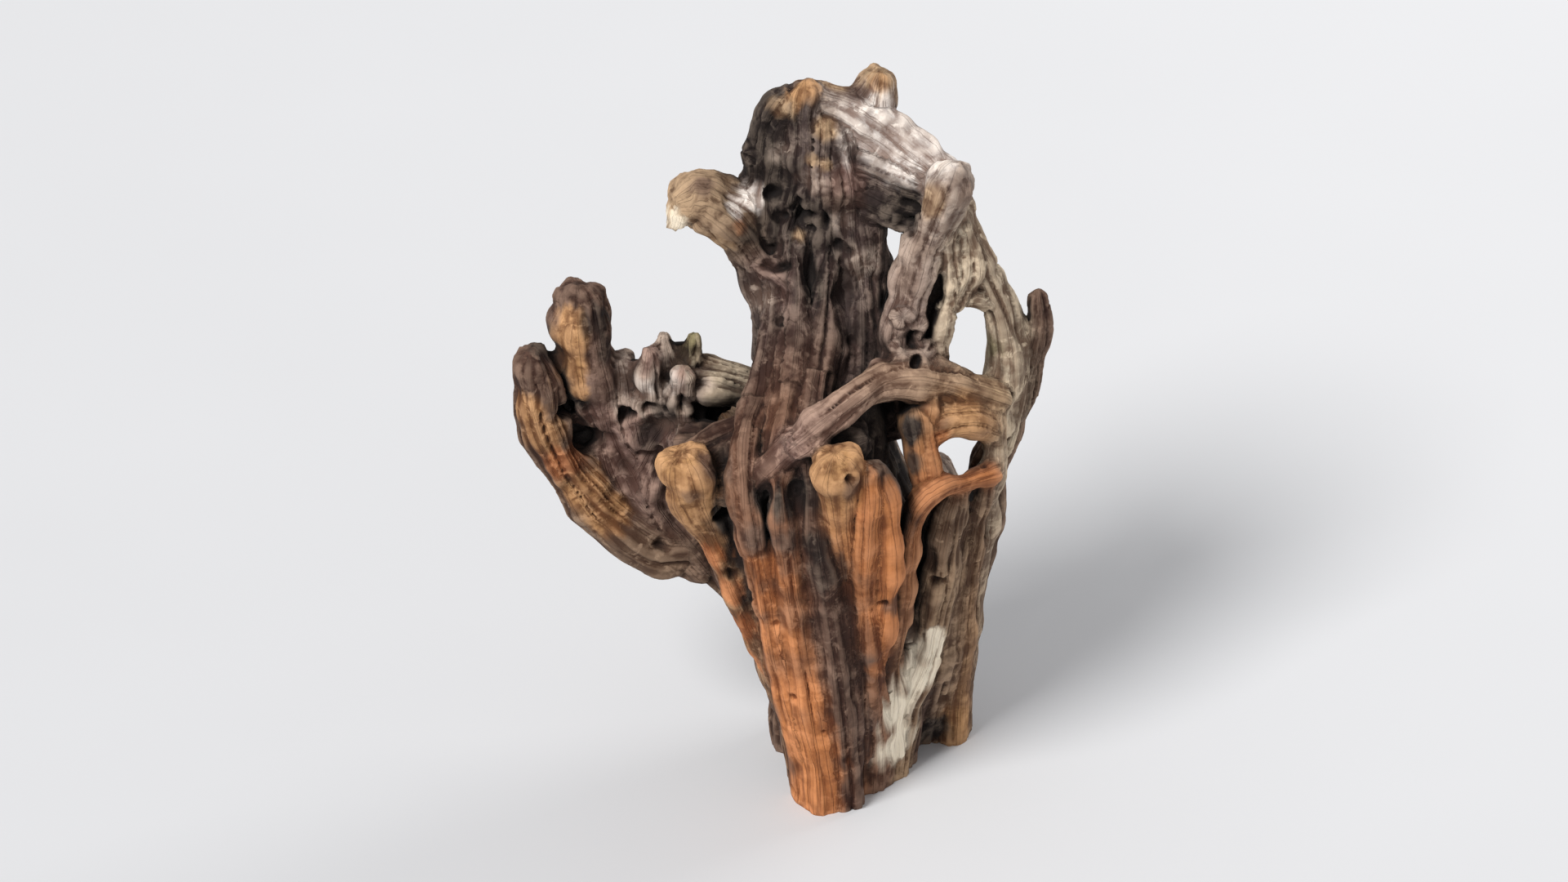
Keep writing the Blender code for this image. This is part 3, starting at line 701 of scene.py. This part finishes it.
class Strand:
    """One strand's samples, with the directions along and across it at each."""

    def __init__(self, points, tones, step):
        line = strand_line(points, step)
        self.centre = line[:, :3]
        self.radius = line[:, 3]
        self.tangent = unit(np.gradient(self.centre, axis=0))
        self.side = self.steady_sides()
        self.up = np.cross(self.tangent, self.side)
        steps = np.linalg.norm(np.diff(self.centre, axis=0), axis=1)
        self.along = np.concatenate([[0.0], np.cumsum(steps)])
        share = (self.along / self.along[-1])[:, None]
        self.tone = np.array(tones[0]) * (1 - share) + np.array(tones[1]) * share

    def steady_sides(self):
        """Crosswise directions that turn as little as they can along the strand."""
        side = np.cross(self.tangent[0], (0.3, 0.9, 0.2))
        sides = []
        for tangent in self.tangent:
            side = unit(side - tangent * side.dot(tangent))
            sides.append(side)
        return np.array(sides)

    def rings(self):
        """Centre, radius and directions of each ring of the tube, with a dome at each end."""
        dome = np.sin(np.radians((22.5, 45, 67.5, 90)))
        shrink = np.cos(np.radians((22.5, 45, 67.5, 89)))
        first = self.centre[0] - self.tangent[0] * (self.radius[0] * dome)[:, None]
        last = self.centre[-1] + self.tangent[-1] * (self.radius[-1] * dome)[:, None]
        centre = np.vstack([first[::-1], self.centre, last])
        radius = np.concatenate([self.radius[0] * shrink[::-1], self.radius, self.radius[-1] * shrink])
        ends = (len(dome), len(dome))
        side = np.pad(self.side, (ends, (0, 0)), mode="edge")
        up = np.pad(self.up, (ends, (0, 0)), mode="edge")
        return centre, radius, side, up

    def tube(self, sides):
        """A closed tube: a sphere with each of its rings moved to its place along the strand."""
        centre, radius, side, up = self.rings()
        last = len(centre) - 1
        ball = bmesh.new()
        bmesh.ops.create_uvsphere(ball, u_segments=sides, v_segments=last, radius=1.0)
        for vert in ball.verts:
            ring = last - round(math.acos(max(-1.0, min(1.0, vert.co.z))) / math.pi * last)
            turn = math.atan2(vert.co.y, vert.co.x)
            across = side[ring] * math.cos(turn) + up[ring] * math.sin(turn)
            vert.co = Vector(centre[ring] + across * radius[ring])
        bmesh.ops.recalc_face_normals(ball, faces=ball.faces)
        mesh = bpy.data.meshes.new("strand")
        ball.to_mesh(mesh)
        ball.free()
        return mesh


def ridged_tone(tones, name):
    """A tone's linear colour, with how ridged such wood is as its fourth value."""
    return (*getattr(tones, name), RIDGED.get(name, 1.0))


def make_strands(shape, tones):
    """All strands, each with its tone at its first point and at its last."""
    strands = []
    for low, high, points in STRANDS.values():
        strands.append(Strand(points, (ridged_tone(tones, low), ridged_tone(tones, high)), shape.strand_step))
    return strands


def evaluated_mesh(obj):
    """A new mesh with the object's modifiers in it."""
    graph = bpy.context.evaluated_depsgraph_get()
    return bpy.data.meshes.new_from_object(obj.evaluated_get(graph))


def fuse(strands, shape):
    """The strands' tubes as one object with an even skin."""
    tubes = bmesh.new()
    for strand in strands:
        tube = strand.tube(shape.tube_sides)
        tubes.from_mesh(tube)
        bpy.data.meshes.remove(tube)
    mesh = bpy.data.meshes.new("weathered_wood")
    tubes.to_mesh(mesh)
    tubes.free()
    wood = bpy.data.objects.new("weathered_wood", mesh)
    bpy.context.scene.collection.objects.link(wood)
    remesh = wood.modifiers.new("Fuse", "REMESH")
    remesh.mode = "VOXEL"
    remesh.voxel_size = shape.voxel
    wood.data = evaluated_mesh(wood)
    wood.modifiers.clear()
    return wood


def linked_group(start, seen):
    """The vertices that edges link to the first one."""
    group = []
    waiting = [start]
    seen.add(start)
    while waiting:
        vert = waiting.pop()
        group.append(vert)
        for edge in vert.link_edges:
            other = edge.other_vert(vert)
            if other not in seen:
                seen.add(other)
                waiting.append(other)
    return group


def keep_outer_skin(skin):
    """Drops the skins of hollows that the strands seal."""
    seen = set()
    groups = []
    for vert in skin.verts:
        if vert not in seen:
            groups.append(linked_group(vert, seen))
    groups.sort(key=len)
    inner = [vert for group in groups[:-1] for vert in group]
    bmesh.ops.delete(skin, geom=inner, context="VERTS")


def smoothen(skin, verts, passes):
    """Moves each vertex half-way to the middle of its neighbours, once a pass."""
    for _ in range(passes):
        bmesh.ops.smooth_vert(
            skin, verts=verts, factor=0.5, use_axis_x=True, use_axis_y=True, use_axis_z=True
        )


def stand_out(skin, passes):
    """How far each vertex moves when the skin is smoothed, as the move that would undo it."""
    sharp = [vert.co.copy() for vert in skin.verts]
    smoothen(skin, skin.verts, passes)
    moves = [place - vert.co for vert, place in zip(skin.verts, sharp)]
    for vert, place in zip(skin.verts, sharp):
        vert.co = place
    return moves


def vertex_places(skin):
    """Where the vertices are, a row for each."""
    return np.array([vert.co[:] for vert in skin.verts])


def reach_from(places, centre, radius):
    """How many radii each place is from a centre, both given in millimetres."""
    return np.linalg.norm(places - np.array(centre) * MM, axis=1) / (radius * MM)


def roughness(places):
    """1 at a rough place, falling to its least inside the smooth places."""
    rough = np.ones(len(places))
    for centre, radius, _ in SMOOTH_PLACES:
        reach = reach_from(places, centre, radius)
        rough = np.minimum(rough, np.clip(2.0 * reach - 1.0, LEAST_ROUGH, 1.0))
    return rough


def swelling(place):
    """Height of the uneven swelling at a place, in metres."""
    return sum(height * noise.noise(place / width + SWELLING_SEED) for width, height in SWELLINGS)


def wear_round(skin):
    """Rounds the fused strands, deepens the creases between them and swells the surface unevenly."""
    keep_outer_skin(skin)
    smoothen(skin, skin.verts, ROUNDING_PASSES)
    for centre, radius, passes in SMOOTH_PLACES:
        middle = Vector(centre) * MM
        near = [vert for vert in skin.verts if (vert.co - middle).length < radius * MM]
        smoothen(skin, near, passes)
    rough = roughness(vertex_places(skin))
    for vert, move, gain in zip(skin.verts, stand_out(skin, CREASE_PASSES), rough * CREASE_GAIN):
        vert.co += move * gain
    skin.normal_update()
    moves = [vert.normal * gain * swelling(vert.co) for vert, gain in zip(skin.verts, rough)]
    for vert, move in zip(skin.verts, moves):
        vert.co += move


def join(strands, name):
    """One value of every sample of all strands, in one array."""
    return np.concatenate([getattr(strand, name) for strand in strands]).astype(np.float32)


def strand_fields(places, strands):
    """For each place: where it lies on its strand, its tone, and how far it is onto the strand's end.

    Where it lies is the direction round the strand, times the strand's mean radius, and the way along.
    So the grain keeps its line where the surface swells or the strand grows thin.
    """
    names = ("centre", "radius", "tangent", "side", "up", "along", "tone")
    centre, radius, tangent, side, up, along, tone = (join(strands, name) for name in names)
    samples = [len(strand.along) for strand in strands]
    width = np.repeat([strand.radius.mean() for strand in strands], samples)
    shift = np.repeat(np.arange(len(strands)) * STRAND_SHIFT, samples)
    grains = []
    tones = []
    ends = []
    for start in range(0, len(places), FIELD_CHUNK):
        place = places[start : start + FIELD_CHUNK].astype(np.float32)
        squared = (place**2).sum(axis=1)[:, None] + (centre**2).sum(axis=1) - 2.0 * place @ centre.T
        gap = np.sqrt(np.maximum(squared, 0.0)) - radius
        near = gap.argmin(axis=1)
        weight = np.exp((gap.min(axis=1, keepdims=True) - gap) / TONE_BLEND)
        tones.append(weight @ tone / weight.sum(axis=1, keepdims=True))
        local = place - centre[near]
        across = (local * side[near]).sum(axis=1)
        over = (local * up[near]).sum(axis=1)
        past = (local * tangent[near]).sum(axis=1)
        turn = width[near] / np.maximum(np.hypot(across, over), 1e-6)
        grains.append(np.stack([across * turn, over * turn, past + along[near] + shift[near]], axis=1))
        ends.append(np.clip(np.abs(past) / radius[near] * 2.0 - 0.5, 0.0, 1.0))
    return np.vstack(grains), np.vstack(tones), np.concatenate(ends)


def grain_noise(grain, width, run, seed):
    """Noise drawn out along the grain: width across it, run along it."""
    return noise.noise(Vector((grain[0] / width, grain[1] / width, grain[2] / run + seed)))


def valley(value, width):
    """1 where value is zero, falling to 0 at width on either side."""
    return max(0.0, 1.0 - abs(value) / width)


def distances(places, centre):
    """How far each place is from the place that lies nearest to a centre given in millimetres."""
    nearest = np.linalg.norm(places - np.array(centre) * MM, axis=1).argmin()
    return np.linalg.norm(places - places[nearest], axis=1)


def spot_strengths(places, grains, spot):
    """The places that a stain's spot reaches, and how strongly it colours each, ragged at its edge."""
    *centre, radius, strength = spot
    reach = distances(places, centre) / (radius * MM)
    rows = np.nonzero(reach < FARTHEST)[0]
    ragged = np.array([grain_noise(grains[row], *STAIN_EDGE) for row in rows])
    return rows, strength * np.clip((1.15 - reach[rows] - 0.6 * ragged) / 0.5, 0.0, 1.0)


def split_mask(places, grains):
    """1 where the wood has split open lately, which is where the cream stains lie."""
    mask = np.zeros(len(places))
    for spot in (spot for tone, spots in STAINS if tone == "cream" for spot in spots):
        rows, strengths = spot_strengths(places, grains, spot)
        mask[rows] = np.maximum(mask[rows], strengths)
    return mask


def hollow_depths(places, hollows):
    """How deep the hollows, uneven in outline, are at each place, in metres."""
    depth = np.zeros(len(places))
    for centre, radius, hollow in hollows:
        reach = distances(places, centre) / (radius * MM)
        rows = np.nonzero(reach < FARTHEST)[0]
        uneven = np.array([noise.noise(Vector(place) / HOLLOW_EDGE) for place in places[rows]])
        share = np.clip(1.0 - reach[rows] + 0.8 * uneven, 0.0, 1.0)
        depth[rows] = np.maximum(depth[rows], hollow * MM * share * share * (3.0 - 2.0 * share) * 1.6)
    return depth


def lumpiness(places):
    """Height of the large lumps at each place, in metres."""
    height = np.zeros(len(places))
    for centre, radius, lump in LUMPY_PLACES:
        reach = reach_from(places, centre, radius)
        height = np.maximum(height, lump * MM * np.clip(2.0 - 2.0 * reach, 0.0, 1.0))
    return height


def lumpy_noise(place, coarse, fine, share):
    """Noise of a coarse size, with a share of a fine size on it."""
    return noise.noise(place / coarse) + share * noise.noise(place / fine)


def relief(place, grain, ridged, lumpy, end, split, shape):
    """How far the surface stands out at a place, in metres, less where it is worn smooth."""
    ridges = RIDGE_CREST - valley(grain_noise(grain, *RIDGES), RIDGE_VALLEY)
    ripples = grain_noise(grain, *RIPPLES)
    check = valley(grain_noise(grain, *CHECKS), CHECK_VALLEY)
    checked = max(0.0, min(1.0, 4.0 * noise.noise(place / CHECKED_PATCH)))
    splinters = valley(grain_noise(grain, *SPLINTERS), SPLINTER_VALLEY)
    height = ridged * shape.ridge_depth * ridges
    height += (ridged * shape.lump_height + lumpy) * lumpy_noise(place, *LUMPS)
    height += (SMOOTH_RIPPLES + (1.0 - SMOOTH_RIPPLES) * ridged) * shape.ripple_depth * ripples
    height += end * shape.end_depth * lumpy_noise(place, *END_LUMPS)
    height -= (SMOOTH_CHECKS + (1.0 - SMOOTH_CHECKS) * ridged) * shape.check_depth * check * checked
    return height - shape.splinter_depth * splinters * split


def scatter_pits(places, count):
    """Random small pits on the surface, as the hollows are given."""
    draw = random.Random(PIT_SEED)
    pits = []
    for _ in range(count):
        radius = draw.uniform(*PIT_RADII)
        centre = places[draw.randrange(len(places))] / MM
        pits.append((centre, radius, radius * draw.uniform(*PIT_DEPTHS)))
    return pits


def carve(skin, places, grains, tones, ends, shape):
    """Wears the grain, the checks, the hollows and the pits into the skin."""
    depths = hollow_depths(places, [*HOLLOWS, *scatter_pits(places, shape.pit_count)])
    ridged = tones[:, 3] * (1.0 - ends)
    wear = zip(grains, ridged, lumpiness(places), ends, split_mask(places, grains))
    skin.normal_update()
    moves = []
    for vert, row, depth in zip(skin.verts, wear, depths):
        moves.append(vert.normal * (relief(vert.co, *row, shape) - depth))
    for vert, move in zip(skin.verts, moves):
        vert.co += move


def cut_flat(skin):
    """Cuts the broken end flat at z = 0, and closes it."""
    geometry = [*skin.verts, *skin.edges, *skin.faces]
    bmesh.ops.bisect_plane(
        skin, geom=geometry, dist=1e-6, plane_co=(0, 0, 0), plane_no=(0, 0, -1), clear_outer=True
    )
    rim = [edge for edge in skin.edges if edge.is_boundary]
    bmesh.ops.holes_fill(skin, edges=rim, sides=0)
    bmesh.ops.triangulate(skin, faces=[face for face in skin.faces if len(face.verts) > 4])


def ray_directions(count):
    """Directions spread evenly over a half sphere, more of them near its top."""
    directions = []
    for step in range(count):
        height = math.sqrt(1.0 - (step + 0.5) / count)
        turn = step * math.pi * (3.0 - math.sqrt(5.0))
        flat = math.sqrt(1.0 - height * height)
        directions.append(Vector((flat * math.cos(turn), flat * math.sin(turn), height)))
    return directions


def openness(skin):
    """How open each vertex is to the air, from 0 in a deep crevice to 1."""
    tree = BVHTree.FromBMesh(skin)
    directions = ray_directions(OPEN_RAYS)
    values = []
    for vert in skin.verts:
        turn = Vector((0, 0, 1)).rotation_difference(vert.normal)
        start = vert.co + vert.normal * 0.6 * MM
        seen = 0.0
        for direction in directions:
            place, _, _, gap = tree.ray_cast(start, turn @ direction, OPEN_REACH)
            if place is None:
                seen += 1.0
            else:
                seen += gap / OPEN_REACH * 0.7
        values.append(seen / len(directions))
    return values


def stained(places, grains, tones, settings):
    """The tones with the stains over them."""
    colours = np.array(tones)
    for name, spots in STAINS:
        tone = np.array(getattr(settings, name)[:])
        for spot in spots:
            rows, strengths = spot_strengths(places, grains, spot)
            colours[rows] += (tone - colours[rows]) * strengths[:, None]
    return colours


def store(mesh, name, kind, field, values):
    """Keeps a value for each vertex as an attribute of the mesh."""
    attribute = mesh.attributes.new(name, kind, "POINT")
    attribute.data.foreach_set(field, np.asarray(values, np.float32).ravel())


def stored(mesh, name, field, width):
    """An attribute's values, a row for each vertex."""
    values = np.zeros(len(mesh.vertices) * width, np.float32)
    mesh.attributes[name].data.foreach_get(field, values)
    return values.reshape(-1, width)


def shape_wood(wood, strands, shape):
    """Wears and carves the fused skin, and stores its grain and its tones."""
    skin = bmesh.new()
    skin.from_mesh(wood.data)
    wear_round(skin)
    places = vertex_places(skin)
    grains, tones, ends = strand_fields(places, strands)
    carve(skin, places, grains, tones, ends, shape)
    skin.to_mesh(wood.data)
    skin.free()
    store(wood.data, "grain", "FLOAT_VECTOR", "vector", grains)
    store(wood.data, "tone", "FLOAT_COLOR", "color", tones)
    store(wood.data, "end", "FLOAT", "value", ends)


def thin(wood, limit):
    """Takes out the vertices that matter least, down to a number of triangles."""
    triangles = 2 * len(wood.data.polygons)
    if triangles > limit:
        decimate = wood.modifiers.new("Thin", "DECIMATE")
        decimate.ratio = limit / triangles
        wood.data = evaluated_mesh(wood)
        wood.modifiers.clear()


def trim(skin):
    """Cuts the broken end flat and keeps the skin in the solid's box."""
    cut_flat(skin)
    low, high = CAD_BOX
    for vert in skin.verts:
        vert.co = Vector(min(max(c, a), b) for c, a, b in zip(vert.co, low, high))
    skin.normal_update()


def colour_wood(wood, tones):
    """Trims the skin and stores what its material reads."""
    skin = bmesh.new()
    skin.from_mesh(wood.data)
    trim(skin)
    places = vertex_places(skin)
    # How far each place stands out; the material paints the ridges pale, partly as wear and partly as painted
    # highlight, and the creases dark as painted shade.
    edges = [vert.normal.dot(move) / MM for vert, move in zip(skin.verts, stand_out(skin, 6))]
    skin.normal_update()
    opens = openness(skin)
    skin.to_mesh(wood.data)
    skin.free()
    grains = stored(wood.data, "grain", "vector", 3)
    colours = stored(wood.data, "tone", "color", 4)
    colours[:, :3] = stained(places, grains, colours[:, :3], tones)
    wood.data.attributes["tone"].data.foreach_set("color", colours.ravel())
    store(wood.data, "open", "FLOAT", "value", opens)
    store(wood.data, "edge", "FLOAT", "value", np.clip(edges, -3, 3))
    store(wood.data, "split", "FLOAT", "value", split_mask(places, grains))
    wood.data.shade_smooth()
    wood.data.calc_loop_triangles()
    print("wood triangles", len(wood.data.loop_triangles))


class Nodes:
    """Adds nodes to a tree and links them."""

    def __init__(self, tree):
        self.tree = tree

    def add(self, kind, inputs=None, **values):
        """A new node, with its own settings and with what its inputs take."""
        node = self.tree.nodes.new(kind)
        for name, value in values.items():
            setattr(node, name, value)
        for name, value in (inputs or {}).items():
            self.plug(node, name, value)
        return node

    def plug(self, node, name, value):
        """Links a socket to a node's input, or sets a plain value there."""
        if isinstance(value, bpy.types.NodeSocket):
            self.tree.links.new(value, node.inputs[name])
        else:
            node.inputs[name].default_value = value

    def maths(self, operation, a, b=0.0):
        return self.add("ShaderNodeMath", {0: a, 1: b}, operation=operation).outputs[0]

    def fit(self, value, low, high, to_low=0.0, to_high=1.0):
        """A value moved from one range to another, and kept inside it."""
        inputs = {"Value": value, "From Min": low, "From Max": high, "To Min": to_low, "To Max": to_high}
        return self.add("ShaderNodeMapRange", inputs, clamp=True).outputs[0]

    def mix(self, share, a, b, blend="MIX"):
        node = self.add("ShaderNodeMix", {0: share, 6: a, 7: b}, data_type="RGBA", blend_type=blend)
        return node.outputs[2]

    def stretched(self, grain, width, run):
        """The place along the grain, so scaled that noise there gets a width and a run."""
        scale = (1 / width, 1 / width, 1 / run)
        return self.add("ShaderNodeVectorMath", {0: grain, 1: scale}, operation="MULTIPLY").outputs[0]

    def noise(self, vector, scale=1.0, detail=2.0, roughness=0.5, distortion=0.0):
        inputs = {
            "Vector": vector,
            "Scale": scale,
            "Detail": detail,
            "Roughness": roughness,
            "Distortion": distortion,
        }
        return self.add("ShaderNodeTexNoise", inputs).outputs["Fac"]


def new_group(name, inputs, outputs):
    """An empty node group with its sockets, and its input and output nodes."""
    group = bpy.data.node_groups.new(name, "ShaderNodeTree")
    for socket, kind in inputs.items():
        group.interface.new_socket(socket, in_out="INPUT", socket_type=kind)
    for socket, kind in outputs.items():
        group.interface.new_socket(socket, in_out="OUTPUT", socket_type=kind)
    return group, group.nodes.new("NodeGroupInput"), group.nodes.new("NodeGroupOutput")


def grain_group():
    """Streaks, fibres, cracks and relief height, all drawn out along the grain."""
    outputs = {name: "NodeSocketFloat" for name in ("Streaks", "Fibres", "Cracks", "Height")}
    group, given, made = new_group("Wood grain", {"Grain": "NodeSocketVector"}, outputs)
    nodes = Nodes(group)
    grain = given.outputs["Grain"]
    streaks = nodes.noise(nodes.stretched(grain, 12 * MM, 380 * MM), detail=4.0, roughness=0.6)
    fibres = nodes.noise(nodes.stretched(grain, 2.6 * MM, 120 * MM), detail=3.0, roughness=0.6)
    lines = nodes.noise(nodes.stretched(grain, 7 * MM, 260 * MM), detail=1.5)
    cracks = nodes.fit(nodes.maths("ABSOLUTE", nodes.maths("SUBTRACT", lines, 0.5)), 0.03, 0.0)
    raised = nodes.maths("MULTIPLY", fibres, 0.6)
    height = nodes.maths("SUBTRACT", raised, nodes.maths("MULTIPLY", cracks, 0.5))
    for name, value in {"Streaks": streaks, "Fibres": fibres, "Cracks": cracks, "Height": height}.items():
        nodes.plug(made, name, value)
    return group


def layered(nodes, tone, drivers, wheres):
    """The tone with the layers of colour over it."""
    bright = nodes.mix(1.0, tone, GLOW, blend="MULTIPLY")
    shades = {
        "dark": nodes.mix(1.0, tone, SHADE, blend="MULTIPLY"),
        "pale": nodes.mix(0.18, bright, BLEACH),
    }
    result = tone
    for driver, start, full, most, where, shade in LAYERS:
        strength = nodes.fit(drivers[driver], start, full, 0.0, most)
        result = nodes.mix(nodes.maths("MULTIPLY", strength, wheres[where]), result, shades[shade])
    return result


def wood_material():
    """Weathered wood, streaked along the grain, with painted shade in the crevices and creases, and pale on
    the ridges, partly wear and partly painted highlight.
    """
    material = bpy.data.materials.new("weathered wood")
    material.use_nodes = True
    nodes = Nodes(material.node_tree)
    shader = material.node_tree.nodes["Principled BSDF"]
    read = {
        name: nodes.add("ShaderNodeAttribute", attribute_name=name).outputs
        for name in ("tone", "grain", "open", "edge", "split", "end")
    }
    tone = read["tone"]["Color"]
    end = read["end"]["Fac"]
    place = nodes.add("ShaderNodeTexCoord").outputs["Object"]
    drivers = {name: nodes.noise(place, *settings) for name, settings in MOTTLES.items()}
    grain = nodes.add("ShaderNodeGroup", node_tree=grain_group())
    nodes.plug(grain, "Grain", read["grain"]["Vector"])
    for name in ("Streaks", "Fibres", "Cracks"):
        drivers[name] = grain.outputs[name]
    drivers["edge"] = read["edge"]["Fac"]

    whole = nodes.maths("SUBTRACT", 1.0, read["split"]["Fac"])
    side = nodes.maths("SUBTRACT", 1.0, end)
    weathered = nodes.maths("MAXIMUM", read["tone"]["Alpha"], end)
    wheres = {
        "whole": whole,
        "side": side,
        "streaked": nodes.maths("MULTIPLY", whole, side),
        "mottled": nodes.maths("MULTIPLY", weathered, whole),
    }
    shade = layered(nodes, tone, drivers, wheres)
    kept = nodes.fit(whole, 0.0, 1.0, 0.35, 1.0)
    # Painted shade: the less open a place is, the nearer its colour goes to near-black, about a third as much
    # where the wood is split.
    crevice_shade = nodes.maths("MULTIPLY", nodes.fit(read["open"]["Fac"], 0.84, 0.3), kept)
    nodes.plug(shader, "Base Color", nodes.mix(crevice_shade, shade, CREVICE_SHADE))
    nodes.plug(shader, "Roughness", nodes.fit(drivers["blotches"], 0.3, 0.7, 0.74, 0.94))
    shader.inputs["Specular IOR Level"].default_value = 0.25
    specks = nodes.maths("MULTIPLY", drivers["speckles"], 0.4)
    height = nodes.maths("ADD", grain.outputs["Height"], specks)
    bump = nodes.add("ShaderNodeBump", {"Height": height, "Strength": 0.7, "Distance": 2.0 * MM})
    nodes.plug(shader, "Normal", bump.outputs["Normal"])
    return material


def floor_material(shade):
    """A plain matt floor, barely mottled."""
    material = bpy.data.materials.new("studio floor")
    material.use_nodes = True
    nodes = Nodes(material.node_tree)
    shader = material.node_tree.nodes["Principled BSDF"]
    place = nodes.add("ShaderNodeTexCoord").outputs["Object"]
    mottle = nodes.noise(place, scale=3.0)
    darker = (*(value * 0.97 for value in shade), 1.0)
    nodes.plug(shader, "Base Color", nodes.mix(mottle, darker, (*shade, 1.0)))
    shader.inputs["Roughness"].default_value = 0.9
    shader.inputs["Specular IOR Level"].default_value = 0.0
    return material


class DRIFTWOOD_OT_wood(bpy.types.Operator):
    """Build the weathered wood from its strands"""

    bl_idname = "driftwood.wood"
    bl_label = "Weathered Wood"

    def execute(self, context):
        shape = context.scene.driftwood_shape
        tones = context.scene.driftwood_tones
        strands = make_strands(shape, tones)
        wood = fuse(strands, shape)
        if not wood.data.polygons:
            raise RuntimeError("the strands gave no wood")
        shape_wood(wood, strands, shape)
        thin(wood, shape.triangles)
        colour_wood(wood, tones)
        wood.data.materials.append(wood_material())
        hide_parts(NODE)
        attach(wood, BODY)
        return {"FINISHED"}


def add_key(stage):
    """A wide soft light from the upper left, the same all over the floor."""
    light = bpy.data.lights.new("key", "SUN")
    light.energy = stage.key_strength
    light.angle = stage.key_softness
    lamp = bpy.data.objects.new("key", light)
    lamp.rotation_euler = KEY_DIRECTION.to_track_quat("-Z", "Y").to_euler()
    bpy.context.scene.collection.objects.link(lamp)


def add_rim(stage, target):
    """A softbox behind, on the right, that lights the edges."""
    light = bpy.data.lights.new("rim", "AREA")
    light.shape = "DISK"
    light.size = RIM_SIZE
    light.energy = stage.rim_power
    lamp = bpy.data.objects.new("rim", light)
    lamp.location = RIM_PLACE
    lamp.rotation_euler = (target - Vector(RIM_PLACE)).to_track_quat("-Z", "Y").to_euler()
    bpy.context.scene.collection.objects.link(lamp)


def add_floor(stage):
    """A round floor that reaches to the horizon."""
    sheet = bmesh.new()
    bmesh.ops.create_circle(sheet, cap_ends=True, segments=96, radius=FLOOR_RADIUS)
    mesh = bpy.data.meshes.new("floor")
    sheet.to_mesh(mesh)
    sheet.free()
    mesh.materials.append(floor_material(stage.floor))
    floor = bpy.data.objects.new("floor", mesh)
    bpy.context.scene.collection.objects.link(floor)


def add_camera(stage, centre):
    """The scene's camera, in front and above, aimed at the centre."""
    camera = bpy.data.cameras.new("camera")
    camera.lens = stage.lens
    camera.sensor_width = 36.0
    camera.clip_end = FAR_CLIP
    eye = bpy.data.objects.new("camera", camera)
    back = Vector((0.0, -math.cos(stage.elevation), math.sin(stage.elevation)))
    eye.location = centre + back * stage.distance
    eye.rotation_euler = (math.pi / 2 - stage.elevation, 0.0, 0.0)
    bpy.context.scene.collection.objects.link(eye)
    bpy.context.scene.camera = eye


def light_world(stage):
    """Soft light from all round, and a plain backdrop for the camera."""
    world = bpy.data.worlds.new("studio")
    world.use_nodes = True
    nodes = Nodes(world.node_tree)
    glow = world.node_tree.nodes["Background"]
    nodes.plug(glow, "Color", (*stage.glow, 1.0))
    nodes.plug(glow, "Strength", stage.glow_strength)
    backdrop = nodes.add("ShaderNodeBackground", {"Color": (*stage.backdrop, 1.0)})
    seen = nodes.add("ShaderNodeLightPath").outputs["Is Camera Ray"]
    mix = nodes.add("ShaderNodeMixShader", {0: seen, 1: glow.outputs[0], 2: backdrop.outputs[0]})
    nodes.plug(world.node_tree.nodes["World Output"], "Surface", mix.outputs[0])
    bpy.context.scene.world = world


class DRIFTWOOD_OT_stage(bpy.types.Operator):
    """Set the floor, the lights and the camera"""

    bl_idname = "driftwood.stage"
    bl_label = "Studio Stage"

    def execute(self, context):
        stage = context.scene.driftwood_stage
        low, high = CAD_BOX
        centre = (low + high) / 2
        add_floor(stage)
        add_key(stage)
        add_rim(stage, centre)
        add_camera(stage, centre)
        light_world(stage)
        context.scene.view_settings.view_transform = "Standard"
        if context.scene.camera is None:
            raise RuntimeError("the stage has no camera")
        return {"FINISHED"}


class DRIFTWOOD_PT_panel(bpy.types.Panel):
    """Lists the driftwood's operators and settings"""

    bl_idname = "DRIFTWOOD_PT_panel"
    bl_label = "Driftwood"
    bl_space_type = "VIEW_3D"
    bl_region_type = "UI"
    bl_category = "Driftwood"

    def draw(self, context):
        for settings in ("driftwood_shape", "driftwood_tones", "driftwood_stage"):
            box = self.layout.box()
            group = getattr(context.scene, settings)
            for name in group.__annotations__:
                box.prop(group, name)
        self.layout.operator(DRIFTWOOD_OT_wood.bl_idname)
        self.layout.operator(DRIFTWOOD_OT_stage.bl_idname)


CLASSES = (
    DriftwoodShape,
    DriftwoodTones,
    DriftwoodStage,
    DRIFTWOOD_OT_wood,
    DRIFTWOOD_OT_stage,
    DRIFTWOOD_PT_panel,
)


def register():
    for cls in CLASSES:
        bpy.utils.register_class(cls)
    bpy.types.Scene.driftwood_shape = PointerProperty(type=DriftwoodShape)
    bpy.types.Scene.driftwood_tones = PointerProperty(type=DriftwoodTones)
    bpy.types.Scene.driftwood_stage = PointerProperty(type=DriftwoodStage)


def unregister():
    del bpy.types.Scene.driftwood_stage
    del bpy.types.Scene.driftwood_tones
    del bpy.types.Scene.driftwood_shape
    for cls in reversed(CLASSES):
        bpy.utils.unregister_class(cls)


def main():
    register()
    bpy.ops.driftwood.wood()
    bpy.ops.driftwood.stage()


if __name__ == "__main__":
    main()
